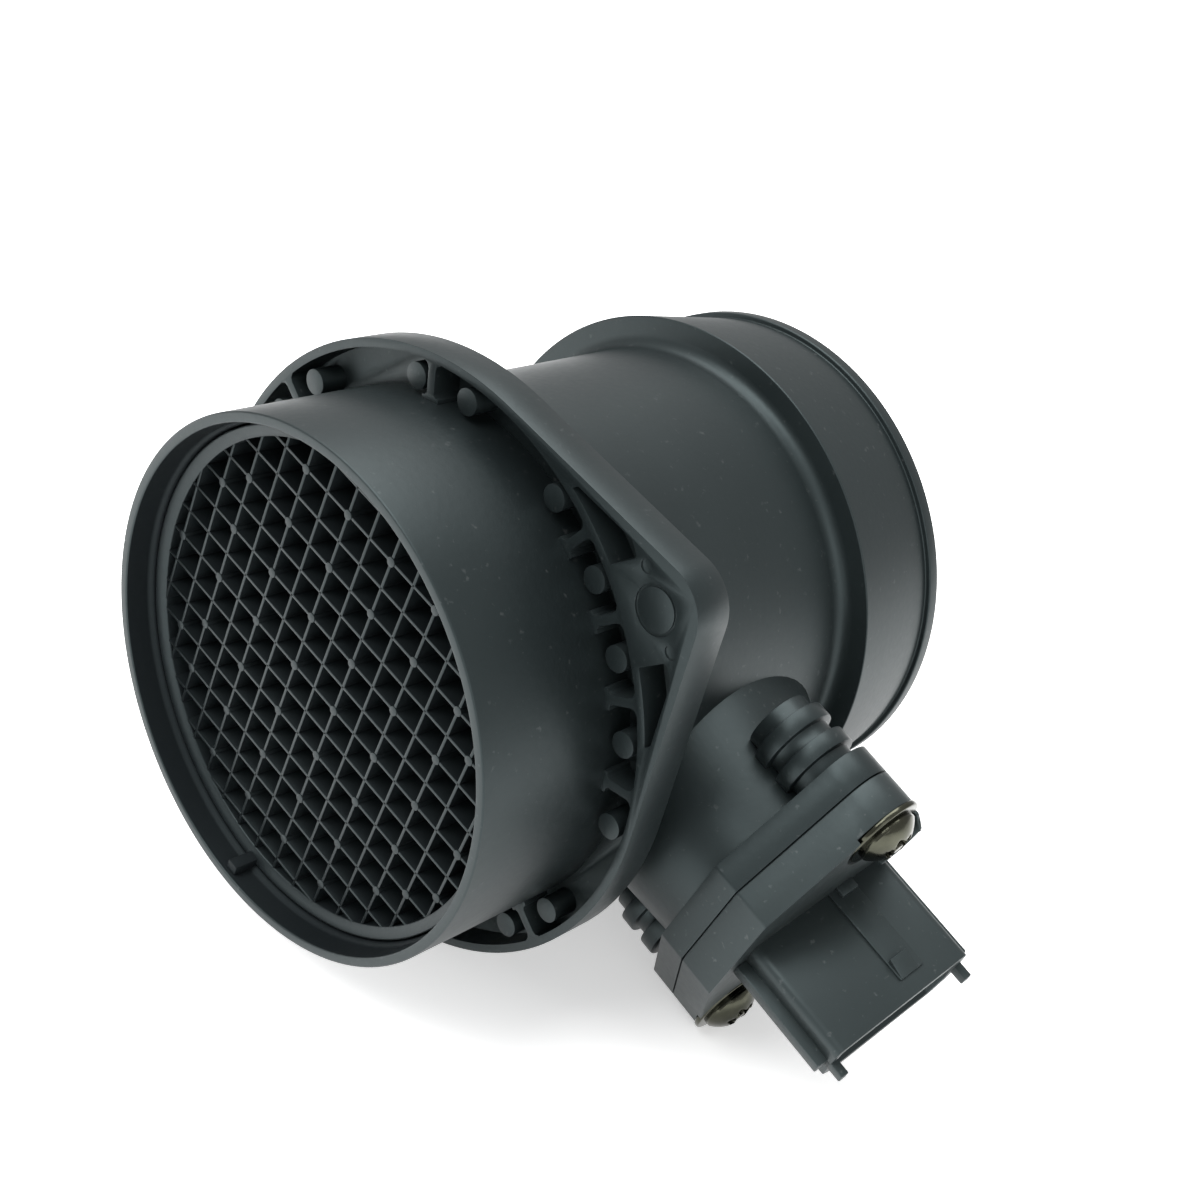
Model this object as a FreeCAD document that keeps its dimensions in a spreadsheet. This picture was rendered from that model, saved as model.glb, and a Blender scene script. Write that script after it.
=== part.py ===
import FreeCAD, Part
import math
import os
import re
import Sketcher
from FreeCAD import Placement, Rotation, Vector

# Mass airflow sensor: a moulded air duct with a ribbed two-ear flange, a lattice in its inlet,
# and a plug-in sensor with a cable header. All sizes are in millimetres, all turns in degrees.
# Frame: the origin is on the duct axis in the front plane of the flange, +X runs down the duct,
# +Z is up as the sensor lies on a table, on the rim of its flange and its lower screw washer.
# Inside a piece, x is counted from the inlet face.
# A turn is counted from +Z, right-handed about +X.

SIZES = [
    # Duct
    ("ear_turn", 53.2, "turn of the first ear"),
    ("ear_to_sensor", 55.1, "turn from the first ear to the plug-in sensor"),
    ("inlet_radius", 42.5, "outer radius of the inlet hose spigot"),
    ("rim_bore_radius", 40.3, "radius of the inlet recess that takes the lattice"),
    ("bore_radius", 38.0, "radius of the measured air passage"),
    ("grid_seat_x", 13.3, "depth of the step that the lattice rests on"),
    ("duct_radius", 41.0, "outer radius behind the flange"),
    ("shoulder_x", 83.3, "front of the step up to the outlet spigot"),
    ("shoulder_radius", 46.4, "outer radius at that step"),
    ("spigot_radius", 43.5, "outer radius of the outlet spigot at its bead"),
    ("bead_radius", 44.5, "outer radius of the hose bead"),
    ("bead_x", 105.2, "front of the hose bead"),
    ("duct_length", 107.7, "inlet face to outlet face"),
    ("outlet_bore_radius", 40.2, "radius of the outlet bore"),
    ("widening_x", 80.0, "start of the cone that widens the bore"),
    ("widening_length", 5.0, "length of that cone"),
    ("rim_round", 0.8, "round on the inlet rim"),
    ("edge_round", 0.6, "round on the shoulder and bead edges"),
    ("shoulder_fillet", 2.4, "fillet at the foot of the shoulder"),
    # Flange
    ("flange_x", 24.0, "front of the flange"),
    ("flange_thickness", 6.6, "thickness of the flange"),
    ("flange_radius", 49.8, "outer radius of the flange"),
    ("flange_wall", 1.4, "thickness of the flange rim wall"),
    ("pocket_depth", 5.0, "depth of the moulded pockets"),
    ("pocket_relief", 0.6, "step down from the inlet spigot to the root of the pockets"),
    ("ear_pitch", 55.4, "duct axis to the centre of an ear"),
    ("ear_radius", 7.5, "radius of the ear tip"),
    ("ear_wall", 1.6, "wall outside an ear window"),
    ("window_gap", 7.4, "ear axis to the near side of a window"),
    ("window_top", 54.6, "duct axis to the far end of a window"),
    ("rib_thickness", 1.5, "thickness of a flange rib"),
    ("rib_foot_width", 3.4, "width of the foot of a rib"),
    ("rib_foot_height", 0.6, "height of the foot of a rib"),
    ("post_radius", 2.05, "radius of an ejector post in the pockets"),
    ("post_pitch", 45.3, "duct axis to the centre of an ejector post"),
    ("post_drop", 0.4, "ejector posts below the flange front"),
    ("disc_radius", 3.3, "radius of the disc mark on an ear"),
    ("disc_groove", 0.5, "width of the groove round the disc mark"),
    ("mark_depth", 0.3, "depth of the marks on an ear"),
    ("dot_radius", 1.1, "radius of a small ejector mark on an ear"),
    ("dot_pitch", 56.0, "duct axis to a small ejector mark"),
    ("dot_offset", 6.1, "ear axis to a small ejector mark"),
    # Ear inserts
    ("insert_radius", 3.2, "outer radius of a threaded insert"),
    ("insert_bore_radius", 2.1, "radius of its threaded hole"),
    ("insert_length", 5.0, "length of a threaded insert"),
    # Lattice
    ("grid_x", 4.8, "depth of the lattice behind the inlet face"),
    ("grid_clearance", 0.3, "gap between the lattice ring and the recess"),
    ("grid_bevel", 0.7, "depth of the bevel inside the ring"),
    ("grid_ring_wall", 2.0, "wall of the lattice ring"),
    ("grid_pitch", 5.06, "pitch of the lattice"),
    ("grid_shift", 0.3, "shift of the middle strip"),
    ("strip_thickness", 0.55, "thickness of a lattice strip"),
    ("grid_turn", -129.2, "turn of the lattice from the first ear"),
    ("pin_radius", 0.8, "radius of an ejector pin in the lattice"),
    ("key_width", 2.2, "width of the rib that keys the lattice"),
    ("key_height", 1.3, "height of that rib"),
    ("key_clearance", 0.2, "gap each side of that rib"),
    ("key_turn", 140.0, "turn of that rib from the first ear"),
    # Sensor seat on the duct
    ("sensor_x", 53.9, "inlet face to the axis of the plug-in sensor"),
    ("turret_base", 25.0, "level of the wide oval of the turret"),
    ("turret_base_shift", 9.4, "shift of the wide oval towards the outlet"),
    ("turret_base_long", 28.9, "half length of the wide oval, along the duct"),
    ("turret_base_half", 22.6, "half width of the wide oval"),
    ("turret_top_long", 16.6, "half length of the top oval"),
    ("turret_top_half", 18.6, "half width of the top oval"),
    ("boss_level", 56.8, "duct axis to the duct side of the boss flange"),
    ("joint_level", 62.1, "duct axis to the joint of the two flanges"),
    ("deck_level", 68.8, "duct axis to the top of the sensor flange"),
    ("flange_half_length", 27.0, "half length of the sensor flange, across the duct"),
    ("flange_half_width", 16.7, "half width of the sensor flange, along the duct"),
    ("flange_side_half", 9.3, "half length of its long side"),
    ("flange_end_half", 5.0, "half width of its ends"),
    ("flange_skew", 2.2, "shift of each end along the duct"),
    ("flange_corner", 2.5, "corner radius of the sensor flange"),
    ("screw_pitch", 23.0, "sensor axis to a screw, across the duct"),
    ("pilot_radius", 2.4, "radius of a screw shank and its pilot hole"),
    ("pilot_depth", 17.0, "depth of a pilot hole"),
    ("column_radius", 5.4, "radius of a screw column"),
    ("column_foot", 44.0, "level of the foot of a screw column"),
    ("ring_radius", 6.6, "radius of a ring rib on a screw column"),
    ("ring_height", 2.9, "height of a ring rib"),
    ("ring_pitch", 5.1, "pitch of the ring ribs"),
    ("ring_round", 0.5, "bevel of a ring rib"),
    ("seat_half_x", 15.4, "half length of the sensor opening"),
    ("seat_half_y", 7.9, "half width of the sensor opening"),
    ("seat_corner", 5.0, "corner radius of the sensor opening"),
    # Plug-in sensor
    ("seat_clearance", 0.2, "gap between the plug and its opening"),
    ("plug_depth", 12.0, "depth of the plug below the joint"),
    ("groove_top", 5.0, "joint to the seal groove"),
    ("groove_height", 2.8, "height of the seal groove"),
    ("groove_depth", 1.9, "depth of the seal groove"),
    ("seal_height", 2.4, "height of the seal ring"),
    ("seal_round", 0.7, "round of the seal ring"),
    ("blade_half_x", 14.0, "half length of the blade, along the flow"),
    ("blade_half_y", 6.5, "half thickness of the blade"),
    ("blade_tip", -15.0, "level of the tip of the blade"),
    ("lid_ledge", 1.0, "width of the ledge under a lid"),
    ("lid_thickness", 1.2, "thickness of a lid"),
    ("bay_half_x", 11.0, "half length of the electronics bay"),
    ("bay_bottom", 14.0, "level of the bottom of the electronics bay"),
    ("bay_top", 45.0, "level of the top of the electronics bay"),
    ("bay_floor_y", 1.6, "floor of the electronics bay"),
    ("plate_thickness", 1.5, "thickness of the carrier plate"),
    ("plate_gap", 0.3, "gap round the carrier plate"),
    ("board_thickness", 0.8, "thickness of the circuit board"),
    ("board_half_x", 9.5, "half length of the circuit board"),
    ("board_bottom", 18.5, "level of the bottom of the circuit board"),
    ("board_top", 43.0, "level of the top of the circuit board"),
    ("chip_half_x", 2.5, "half width of the sensing chip"),
    ("chip_bottom", 5.0, "level of the tip of the sensing chip"),
    ("chip_top", 16.5, "level of the inner end of the sensing chip"),
    ("chip_thickness", 1.2, "thickness of the sensing chip"),
    ("channel_floor", 3.2, "blade axis down to the floor of the bypass channel"),
    ("channel_width", 6.0, "width of the bypass channel"),
    ("channel_mouth", -9.0, "level of the middle of the channel mouth"),
    ("channel_back_x", 9.5, "back of the bypass channel"),
    ("channel_top", 10.0, "top of the bypass channel"),
    ("channel_end_x", 9.5, "blade axis to the closed end of the upper run"),
    ("probe_radius", 1.2, "radius of the temperature bead"),
    ("probe_lead_radius", 0.35, "radius of its leads"),
    ("probe_lead_pitch", 1.4, "distance between its leads"),
    ("probe_level", 26.0, "level of the temperature bead"),
    ("probe_bay_top", 36.0, "level of the top of its recess"),
    ("probe_bay_depth", 3.4, "depth of its recess"),
    ("probe_bay_half_x", 3.5, "half width of its recess"),
    ("screw_hole_radius", 2.8, "radius of a screw hole in the sensor flange"),
    ("counterbore_radius", 7.3, "radius of the recess under a washer"),
    ("counterbore_depth", 0.9, "depth of that recess"),
    ("washer_gap", 0.25, "gap between a washer and the shank"),
    # Header
    ("header_turn", 20.0, "turn of the header on the sensor flange"),
    ("header_shift", 0.8, "shift of the header towards the outlet"),
    ("header_chamfer", 3.4, "chamfer of its two far corners"),
    ("header_half_x", 14.3, "half width of the header"),
    ("header_half_y", 6.4, "half depth of the header"),
    ("header_corner", 1.6, "corner radius of the header"),
    ("header_wall", 1.6, "wall of the header"),
    ("header_length", 21.0, "length of the header above the deck"),
    ("socket_depth", 16.0, "depth of the socket"),
    ("rail_half", 1.3, "half width of a side rail"),
    ("rail_height", 2.0, "height of a side rail"),
    ("rail_setback", 0.8, "side rail short of the mouth"),
    ("header_rail_y", 1.2, "shift of the rails from the middle of the narrow sides"),
    ("peg_length", 2.6, "length of a peg beyond the mouth"),
    ("peg_half", 1.2, "half width of a peg"),
    ("latch_shift", 3.4, "shift of the latch ramp from the middle"),
    ("latch_half", 2.7, "half width of the latch ramp"),
    ("latch_strip_height", 0.5, "height of the strip below the ramp"),
    ("latch_height", 1.7, "height of the latch ramp"),
    ("latch_length", 4.2, "length of the latch ramp"),
    ("latch_setback", 4.2, "latch ramp to the mouth"),
    ("terminal_count", 5, "number of terminals"),
    ("terminal_pitch", 4.2, "pitch of the terminals in the socket"),
    ("terminal_width", 1.5, "width of a terminal"),
    ("terminal_thickness", 0.8, "thickness of a terminal"),
    ("terminal_reach", 11.0, "terminal above the floor of the socket"),
    ("terminal_board_pitch", 3.4, "pitch of the terminals on the board"),
    ("terminal_overlap", 3.0, "terminal over the board"),
    ("terminal_bend", 58.0, "level where the terminals start to spread"),
    ("terminal_bend_height", 10.0, "height over which they spread"),
    # Screws
    ("washer_radius", 6.7, "outer radius of a washer"),
    ("washer_thickness", 1.0, "thickness of a washer"),
    ("washer_round", 0.35, "round of a washer"),
    ("head_radius", 5.1, "radius of a screw head"),
    ("head_height", 3.5, "height of a screw head"),
    ("head_band", 0.9, "straight side of a screw head"),
    ("shank_length", 18.0, "length of a screw below its head"),
    ("recess_radius", 1.75, "radius of the drive recess between its lobes"),
    ("recess_lobe_radius", 0.62, "radius of a lobe of the drive recess"),
    ("recess_depth", 2.1, "depth of the drive recess"),
    ("recess_pin_radius", 0.75, "radius of the security pin"),
]

# Pins near the rim of the lattice, counted in strips from its middle.
RIM_PINS = ((-3, 6), (-3, -6), (3, -6), (3, 6))
# Turns of the flange ribs and posts from the ear axis; the other half of the flange repeats them.
RIB_TURNS = (-59.0, -15.0, 0.0, 15.0, 32.5, 78.0)
POST_TURNS = (-63.6, -49.7, -23.6, -7.3, 7.3, 23.6, 41.5, 71.0, 85.0)

doc = FreeCAD.newDocument("mass_airflow_sensor")
sheet = doc.addObject("Spreadsheet::Sheet", "Sizes")
for row, (alias, value, meaning) in enumerate(SIZES, start=1):
    sheet.set("A%d" % row, meaning)
    sheet.set("B%d" % row, str(value))
    sheet.setAlias("B%d" % row, alias)
doc.recompute()

WORD = re.compile(r"[a-z]\w*")
ALIASES = {alias for alias, value, meaning in SIZES}
FRONT = Vector(1, 0, 0)
FRONT_TURN = Vector(0, 0, 1)


def bound(expression):
    """Return an expression with each alias read from the sheet."""
    return WORD.sub(lambda m: "Sizes." + m.group() if m.group() in ALIASES else m.group(), str(expression))


def number(expression):
    """Return the present value of an expression."""
    result = sheet.evalExpression(bound(expression))
    return float(getattr(result, "Value", result))


def bind(thing, path, expression):
    """Tie one property to an expression of sheet sizes."""
    thing.setExpression(path, bound(expression))


def new_body(name):
    """Start a body whose label is the name of the piece."""
    body = doc.addObject("PartDesign::Body", name)
    body.Label = name
    return body


def new_sketch(body, name, role, x="0", y="0", level="0", axis=None, turn="0"):
    """Attach a sketch to an origin plane, shifted and then turned about an axis of that plane."""
    sketch = body.newObject("Sketcher::SketchObject", name)
    plane = [feature for feature in body.Origin.OriginFeatures if feature.Role == role][0]
    sketch.AttachmentSupport = [(plane, "")]
    sketch.MapMode = "FlatFace"
    if axis is not None:
        sketch.AttachmentOffset = Placement(Vector(0, 0, 0), Rotation(axis, number(turn)))
        bind(sketch, "AttachmentOffset.Rotation.Angle", "(%s) * 1 deg" % turn)
    for letter, expression in (("x", x), ("y", y), ("z", level)):
        bind(sketch, "AttachmentOffset.Base.%s" % letter, expression)
    return sketch


def place_point(sketch, element, end, x, y):
    """Fix one point of a sketch at bound coordinates."""
    for kind, expression in (("DistanceX", x), ("DistanceY", y)):
        index = sketch.addConstraint(Sketcher.Constraint(kind, -1, 1, element, end, number(expression)))
        bind(sketch, "Constraints[%d]" % index, expression)


def draw_outline(sketch, points):
    """Draw a closed outline of straight sides."""
    corners = [Vector(number(x), number(y), 0) for x, y in points]
    first = sketch.GeometryCount
    count = len(corners)
    for index in range(count):
        sketch.addGeometry(Part.LineSegment(corners[index], corners[(index + 1) % count]))
    for index in range(count):
        following = (index + 1) % count
        sketch.addConstraint(Sketcher.Constraint("Coincident", first + index, 2, first + following, 1))
        place_point(sketch, first + index, 1, *points[index])


def draw_circle(sketch, radius, x="0", y="0"):
    """Draw a circle."""
    index = sketch.addGeometry(Part.Circle(Vector(number(x), number(y), 0), Vector(0, 0, 1), number(radius)))
    place_point(sketch, index, 3, x, y)
    constraint = sketch.addConstraint(Sketcher.Constraint("Radius", index, number(radius)))
    bind(sketch, "Constraints[%d]" % constraint, radius)


def draw_ellipse(sketch, half_x, half_y):
    """Draw an ellipse about the middle of a sketch."""
    long_half, short_half = number(half_x), number(half_y)
    upright = short_half > long_half
    if upright:
        tip, side = Vector(0, short_half, 0), Vector(long_half, 0, 0)
    else:
        tip, side = Vector(long_half, 0, 0), Vector(0, short_half, 0)
    index = sketch.addGeometry(Part.Ellipse(tip, side, Vector(0, 0, 0)))
    sketch.exposeInternalGeometry(index)
    place_point(sketch, index, 3, "0", "0")
    sketch.addConstraint(Sketcher.Constraint("Vertical" if upright else "Horizontal", index + 1))
    halves = (half_y, half_x) if upright else (half_x, half_y)
    for line, half in zip((index + 1, index + 2), halves):
        constraint = sketch.addConstraint(Sketcher.Constraint("Distance", line, 2 * number(half)))
        bind(sketch, "Constraints[%d]" % constraint, "2 * (%s)" % half)


def draw_rounded_box(sketch, half_x, half_y, corner):
    """Draw a rectangle with round corners about the middle of a sketch."""
    wide, deep, radius = number(half_x), number(half_y), number(corner)
    first = sketch.GeometryCount
    inner_x, inner_y = wide - radius, deep - radius
    sides = (
        (Vector(-inner_x, -deep, 0), Vector(inner_x, -deep, 0)),
        (Vector(wide, -inner_y, 0), Vector(wide, inner_y, 0)),
        (Vector(inner_x, deep, 0), Vector(-inner_x, deep, 0)),
        (Vector(-wide, inner_y, 0), Vector(-wide, -inner_y, 0)),
    )
    centres = ((inner_x, -inner_y), (inner_x, inner_y), (-inner_x, inner_y), (-inner_x, -inner_y))
    for side, (centre_x, centre_y) in enumerate(centres):
        sketch.addGeometry(Part.LineSegment(*sides[side]))
        circle = Part.Circle(Vector(centre_x, centre_y, 0), Vector(0, 0, 1), radius)
        start = (side - 1) * math.pi / 2
        sketch.addGeometry(Part.ArcOfCircle(circle, start, start + math.pi / 2))
    for side in range(4):
        line, arc, following = first + 2 * side, first + 2 * side + 1, first + (2 * side + 2) % 8
        sketch.addConstraint(Sketcher.Constraint("Tangent", line, 2, arc, 1))
        sketch.addConstraint(Sketcher.Constraint("Tangent", arc, 2, following, 1))
        sketch.addConstraint(Sketcher.Constraint("Vertical" if side % 2 else "Horizontal", line))
        kind = "DistanceX" if side % 2 else "DistanceY"
        half = half_x if side % 2 else half_y
        expression = half if side in (1, 2) else "-(%s)" % half
        index = sketch.addConstraint(Sketcher.Constraint(kind, -1, 1, line, 1, number(expression)))
        bind(sketch, "Constraints[%d]" % index, expression)
        if side:
            sketch.addConstraint(Sketcher.Constraint("Equal", first + 1, arc))
    index = sketch.addConstraint(Sketcher.Constraint("Radius", first + 1, radius))
    bind(sketch, "Constraints[%d]" % index, corner)


def add_feature(body, kind, name, sketch, length, reverse=False):
    """Pad or pocket a sketch by a bound length."""
    feature = body.newObject("PartDesign::" + kind, name)
    feature.Profile = sketch
    feature.Reversed = reverse
    bind(feature, "Length", length)
    sketch.Visibility = False
    return feature


def add_turned(body, kind, name, sketch, axis="H_Axis"):
    """Turn a sketch a full circle about one of its axes."""
    feature = body.newObject("PartDesign::" + kind, name)
    feature.Profile = sketch
    feature.ReferenceAxis = (sketch, [axis])
    feature.Angle = 360
    return feature


def round_edges(body, name, radius, chosen, kind="Fillet"):
    """Round the edges of the body's last feature for which chosen(edge) is true."""
    doc.recompute()
    base = body.Tip
    names = ["Edge%d" % (i + 1) for i, edge in enumerate(base.Shape.Edges) if chosen(edge)]
    if not names:
        raise RuntimeError("no edge to round for " + name)
    feature = body.newObject("PartDesign::" + kind, name)
    feature.Base = (base, names)
    bind(feature, "Radius" if kind == "Fillet" else "Size", radius)
    return feature


def repeat_half_turn(body, name, originals, axis_role):
    """Repeat features half a turn round an origin axis."""
    pattern = body.newObject("PartDesign::PolarPattern", name)
    pattern.Originals = originals
    axis = [feature for feature in body.Origin.OriginFeatures if feature.Role == axis_role][0]
    pattern.Axis = (axis, [""])
    pattern.Angle = 360
    pattern.Occurrences = 2
    body.Tip = pattern
    return pattern


def turn_about_duct(piece, turn, x="0"):
    """Turn a piece about the duct axis and shift it along that axis."""
    piece.Placement = Placement(Vector(number(x), 0, 0), Rotation(FRONT, number(turn)))
    bind(piece, "Placement.Rotation.Angle", "(%s) * 1 deg" % turn)
    bind(piece, "Placement.Base.x", "%s - flange_x" % x)


def is_rim(edge, x, radius):
    """Tell whether an edge is a full circle round the duct at one place."""
    if not isinstance(edge.Curve, Part.Circle):
        return False
    centre = edge.Curve.Center
    off_axis = math.hypot(centre.y, centre.z)
    return abs(centre.x - x) < 0.01 and abs(edge.Curve.Radius - radius) < 0.01 and off_axis < 0.01


def is_upright(edge, least=0.0, shortest=0.0):
    """Tell whether an edge is a straight line along local Z above a level."""
    if not isinstance(edge.Curve, (Part.Line, Part.LineSegment)):
        return False
    box = edge.BoundBox
    return box.XLength < 0.001 and box.YLength < 0.001 and box.ZMin > least and box.ZLength > shortest


SENSOR_TURN = "ear_turn + ear_to_sensor"
SENSOR_FLANGE = (
    ("flange_skew + flange_end_half", "flange_half_length"),
    ("flange_skew - flange_end_half", "flange_half_length"),
    ("-flange_half_width", "flange_side_half"),
    ("-flange_half_width", "-flange_side_half"),
    ("-flange_skew - flange_end_half", "-flange_half_length"),
    ("-flange_skew + flange_end_half", "-flange_half_length"),
    ("flange_half_width", "-flange_side_half"),
    ("flange_half_width", "flange_side_half"),
)


def sensor_sketch(body, name, level, x="0", y="0"):
    """Start a sketch across the sensor axis, in the frame of the ears."""
    across = "(%s)" % y
    height = "(%s)" % level
    turn = "(ear_to_sensor * 1 deg)"
    return new_sketch(
        body, name, "XY_Plane",
        x="sensor_x + (%s)" % x,
        y="%s * cos(%s) - %s * sin(%s)" % (across, turn, height, turn),
        level="%s * sin(%s) + %s * cos(%s)" % (across, turn, height, turn),
        axis=FRONT, turn="ear_to_sensor")


def make_duct_housing():
    """Model the one-piece duct: spigots, ribbed two-ear flange, turret and screw columns."""
    body = new_body("duct_housing")
    outside = new_sketch(body, "duct_outside", "XZ_Plane")
    draw_outline(outside, (
        ("0", "0"), ("0", "inlet_radius"), ("flange_x + pocket_depth", "inlet_radius"),
        ("flange_x + pocket_depth", "duct_radius"), ("shoulder_x", "duct_radius"),
        ("shoulder_x", "shoulder_radius"), ("bead_x", "spigot_radius"), ("bead_x", "bead_radius"),
        ("duct_length", "bead_radius"), ("duct_length", "0")))
    add_turned(body, "Revolution", "duct_solid", outside)
    round_edges(body, "inlet_rim_round", "rim_round",
                lambda edge: is_rim(edge, 0, number("inlet_radius")))
    round_edges(body, "outlet_rounds", "edge_round",
                lambda edge: is_rim(edge, number("shoulder_x"), number("shoulder_radius"))
                or is_rim(edge, number("bead_x"), number("bead_radius"))
                or is_rim(edge, number("duct_length"), number("bead_radius")))
    round_edges(body, "shoulder_foot", "shoulder_fillet",
                lambda edge: is_rim(edge, number("shoulder_x"), number("duct_radius")))
    add_flange(body)
    add_sensor_seat(body)
    add_bores(body)
    turn_about_duct(body, "ear_turn")
    return body


def add_flange(body):
    """Add the flange with its ears, windows, pockets, ribs and ejector posts."""
    disc = new_sketch(body, "flange_disc", "YZ_Plane", level="flange_x")
    draw_circle(disc, "flange_radius")
    add_feature(body, "Pad", "flange_plate", disc, "flange_thickness")
    lean = "acos((flange_radius - ear_radius) / ear_pitch)"
    root_y, root_z = "flange_radius * sin(%s)" % lean, "flange_radius * cos(%s)" % lean
    tip_y, tip_z = "ear_radius * sin(%s)" % lean, "ear_pitch + ear_radius * cos(%s)" % lean
    hull = new_sketch(body, "ear_hull", "YZ_Plane", level="flange_x")
    draw_outline(hull, (
        (root_y, root_z), (tip_y, tip_z), ("-(%s)" % tip_y, tip_z), ("-(%s)" % root_y, root_z),
        ("-(%s)" % root_y, "-(%s)" % root_z), ("-(%s)" % tip_y, "-(%s)" % tip_z),
        (tip_y, "-(%s)" % tip_z), (root_y, "-(%s)" % root_z)))
    add_feature(body, "Pad", "ear_plates", hull, "flange_thickness")
    for side, name in (("", "first"), ("-", "second")):
        lobe = new_sketch(body, "ear_lobe_" + name, "YZ_Plane", level="flange_x")
        draw_circle(lobe, "ear_radius", y=side + "ear_pitch")
        add_feature(body, "Pad", "ear_tip_" + name, lobe, "flange_thickness")

    line = "(flange_radius - ear_wall - (%s) * cos(" + lean + ")) / sin(" + lean + ")"
    windows = []
    for side, name in (("", "left"), ("-", "right")):
        window = new_sketch(body, "window_outline_" + name, "YZ_Plane", level="flange_x")
        inner = "flange_radius - 4 * flange_wall"
        draw_outline(window, (
            (side + "(window_gap)", inner), (side + "(window_gap)", "window_top"),
            (side + "(" + line % "window_top" + ")", "window_top"),
            (side + "(" + line % inner + ")", inner)))
        windows.append(add_feature(body, "Pocket", "window_" + name, window, "pocket_depth", reverse=True))
    repeat_half_turn(body, "windows_both_ears", windows, "X_Axis")
    ring = new_sketch(body, "pocket_ring", "YZ_Plane", level="flange_x")
    draw_circle(ring, "inlet_radius - pocket_relief")
    draw_circle(ring, "flange_radius - flange_wall")
    add_feature(body, "Pocket", "ring_pocket", ring, "pocket_depth", reverse=True)
    wall = new_sketch(body, "flange_wall_ring", "YZ_Plane", level="flange_x")
    draw_circle(wall, "flange_radius - flange_wall")
    draw_circle(wall, "flange_radius")
    add_feature(body, "Pad", "rim_wall", wall, "flange_thickness")

    repeated = []
    for index, turn in enumerate(RIB_TURNS, start=1):
        rib = new_sketch(body, "rib_outline_%d" % index, "YZ_Plane", level="flange_x",
                         axis=FRONT_TURN, turn=turn)
        half, foot = "rib_thickness / 2", "rib_foot_width / 2"
        root, knee, top = "inlet_radius - 0.5 * rib_thickness", "inlet_radius + rib_foot_height", \
            "flange_radius - 0.5 * flange_wall"
        draw_outline(rib, (
            ("-" + foot, root), (foot, root), (foot, knee), (half, knee), (half, top),
            ("-" + half, top), ("-" + half, knee), ("-" + foot, knee)))
        repeated.append(add_feature(body, "Pad", "rib_%d" % index, rib, "pocket_depth + 0.5 * flange_wall"))
    for index, turn in enumerate(POST_TURNS, start=1):
        post = new_sketch(body, "post_outline_%d" % index, "YZ_Plane", level="flange_x + post_drop",
                          axis=FRONT_TURN, turn=turn)
        draw_circle(post, "post_radius", y="post_pitch")
        repeated.append(add_feature(body, "Pad", "post_%d" % index, post, "pocket_depth"))
    repeat_half_turn(body, "ribs_both_halves", repeated, "X_Axis")

    groove = new_sketch(body, "disc_groove_outline", "YZ_Plane", level="flange_x")
    draw_circle(groove, "disc_radius", y="ear_pitch")
    draw_circle(groove, "disc_radius + disc_groove", y="ear_pitch")
    dots = new_sketch(body, "dot_outline", "YZ_Plane", level="flange_x")
    for side in ("", "-"):
        draw_circle(dots, "dot_radius", x=side + "dot_offset", y="dot_pitch")
    hole = new_sketch(body, "insert_outline", "YZ_Plane", level="flange_x + flange_thickness")
    draw_circle(hole, "insert_radius", y="ear_pitch")
    marks = [
        add_feature(body, "Pocket", "disc_groove_cut", groove, "mark_depth", reverse=True),
        add_feature(body, "Pocket", "dot_cut", dots, "mark_depth", reverse=True),
        add_feature(body, "Pocket", "insert_hole", hole, "insert_length"),
    ]
    repeat_half_turn(body, "marks_both_ears", marks, "X_Axis")


def add_sensor_seat(body):
    """Add the turret, the screw columns with their ring ribs, and the boss flange."""
    low = sensor_sketch(body, "turret_wide_oval", "turret_base", x="turret_base_shift")
    draw_ellipse(low, "turret_base_long", "turret_base_half")
    high = sensor_sketch(body, "turret_top_oval", "boss_level")
    draw_ellipse(high, "turret_top_long", "turret_top_half")
    turret = body.newObject("PartDesign::AdditiveLoft", "turret")
    turret.Profile = low
    turret.Sections = [high]
    for name, sign in (("rear", ""), ("front", "-")):
        column = new_sketch(
            body, "column_outline_" + name, "XZ_Plane",
            x="sensor_x + (%s(flange_skew))" % sign,
            y="%s(screw_pitch) * sin(ear_to_sensor * 1 deg)" % sign,
            level="-(%s(screw_pitch)) * cos(ear_to_sensor * 1 deg)" % sign,
            axis=FRONT, turn="ear_to_sensor")
        points = [("0", "column_foot"), ("column_radius", "column_foot")]
        for ring in (2, 1):
            floor = "boss_level - %d * ring_pitch" % ring
            points += [
                ("column_radius", floor),
                ("ring_radius - ring_round", floor),
                ("ring_radius", floor + " + ring_round"),
                ("ring_radius", floor + " + ring_height - ring_round"),
                ("ring_radius - ring_round", floor + " + ring_height"),
                ("column_radius", floor + " + ring_height")]
        points += [("column_radius", "boss_level + ring_round"), ("0", "boss_level + ring_round")]
        draw_outline(column, points)
        add_turned(body, "Revolution", "screw_column_" + name, column, axis="V_Axis")
    outline = sensor_sketch(body, "boss_flange_outline", "boss_level")
    draw_outline(outline, SENSOR_FLANGE)
    add_feature(body, "Pad", "boss_flange", outline, "joint_level - boss_level")
    turned = Rotation(FRONT, -number("ear_to_sensor"))

    def is_boss_corner(edge):
        """Tell whether an edge is a corner of the boss flange."""
        ends = [turned.multVec(vertex.Point) for vertex in edge.Vertexes]
        if len(ends) != 2 or not isinstance(edge.Curve, (Part.Line, Part.LineSegment)):
            return False
        low_end, high_end = sorted(end.z for end in ends)
        drift = math.hypot(ends[0].x - ends[1].x, ends[0].y - ends[1].y)
        return drift < 0.001 and low_end > number("boss_level") - 0.01 and high_end - low_end > 2
    round_edges(body, "boss_corners", "flange_corner", is_boss_corner)


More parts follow.
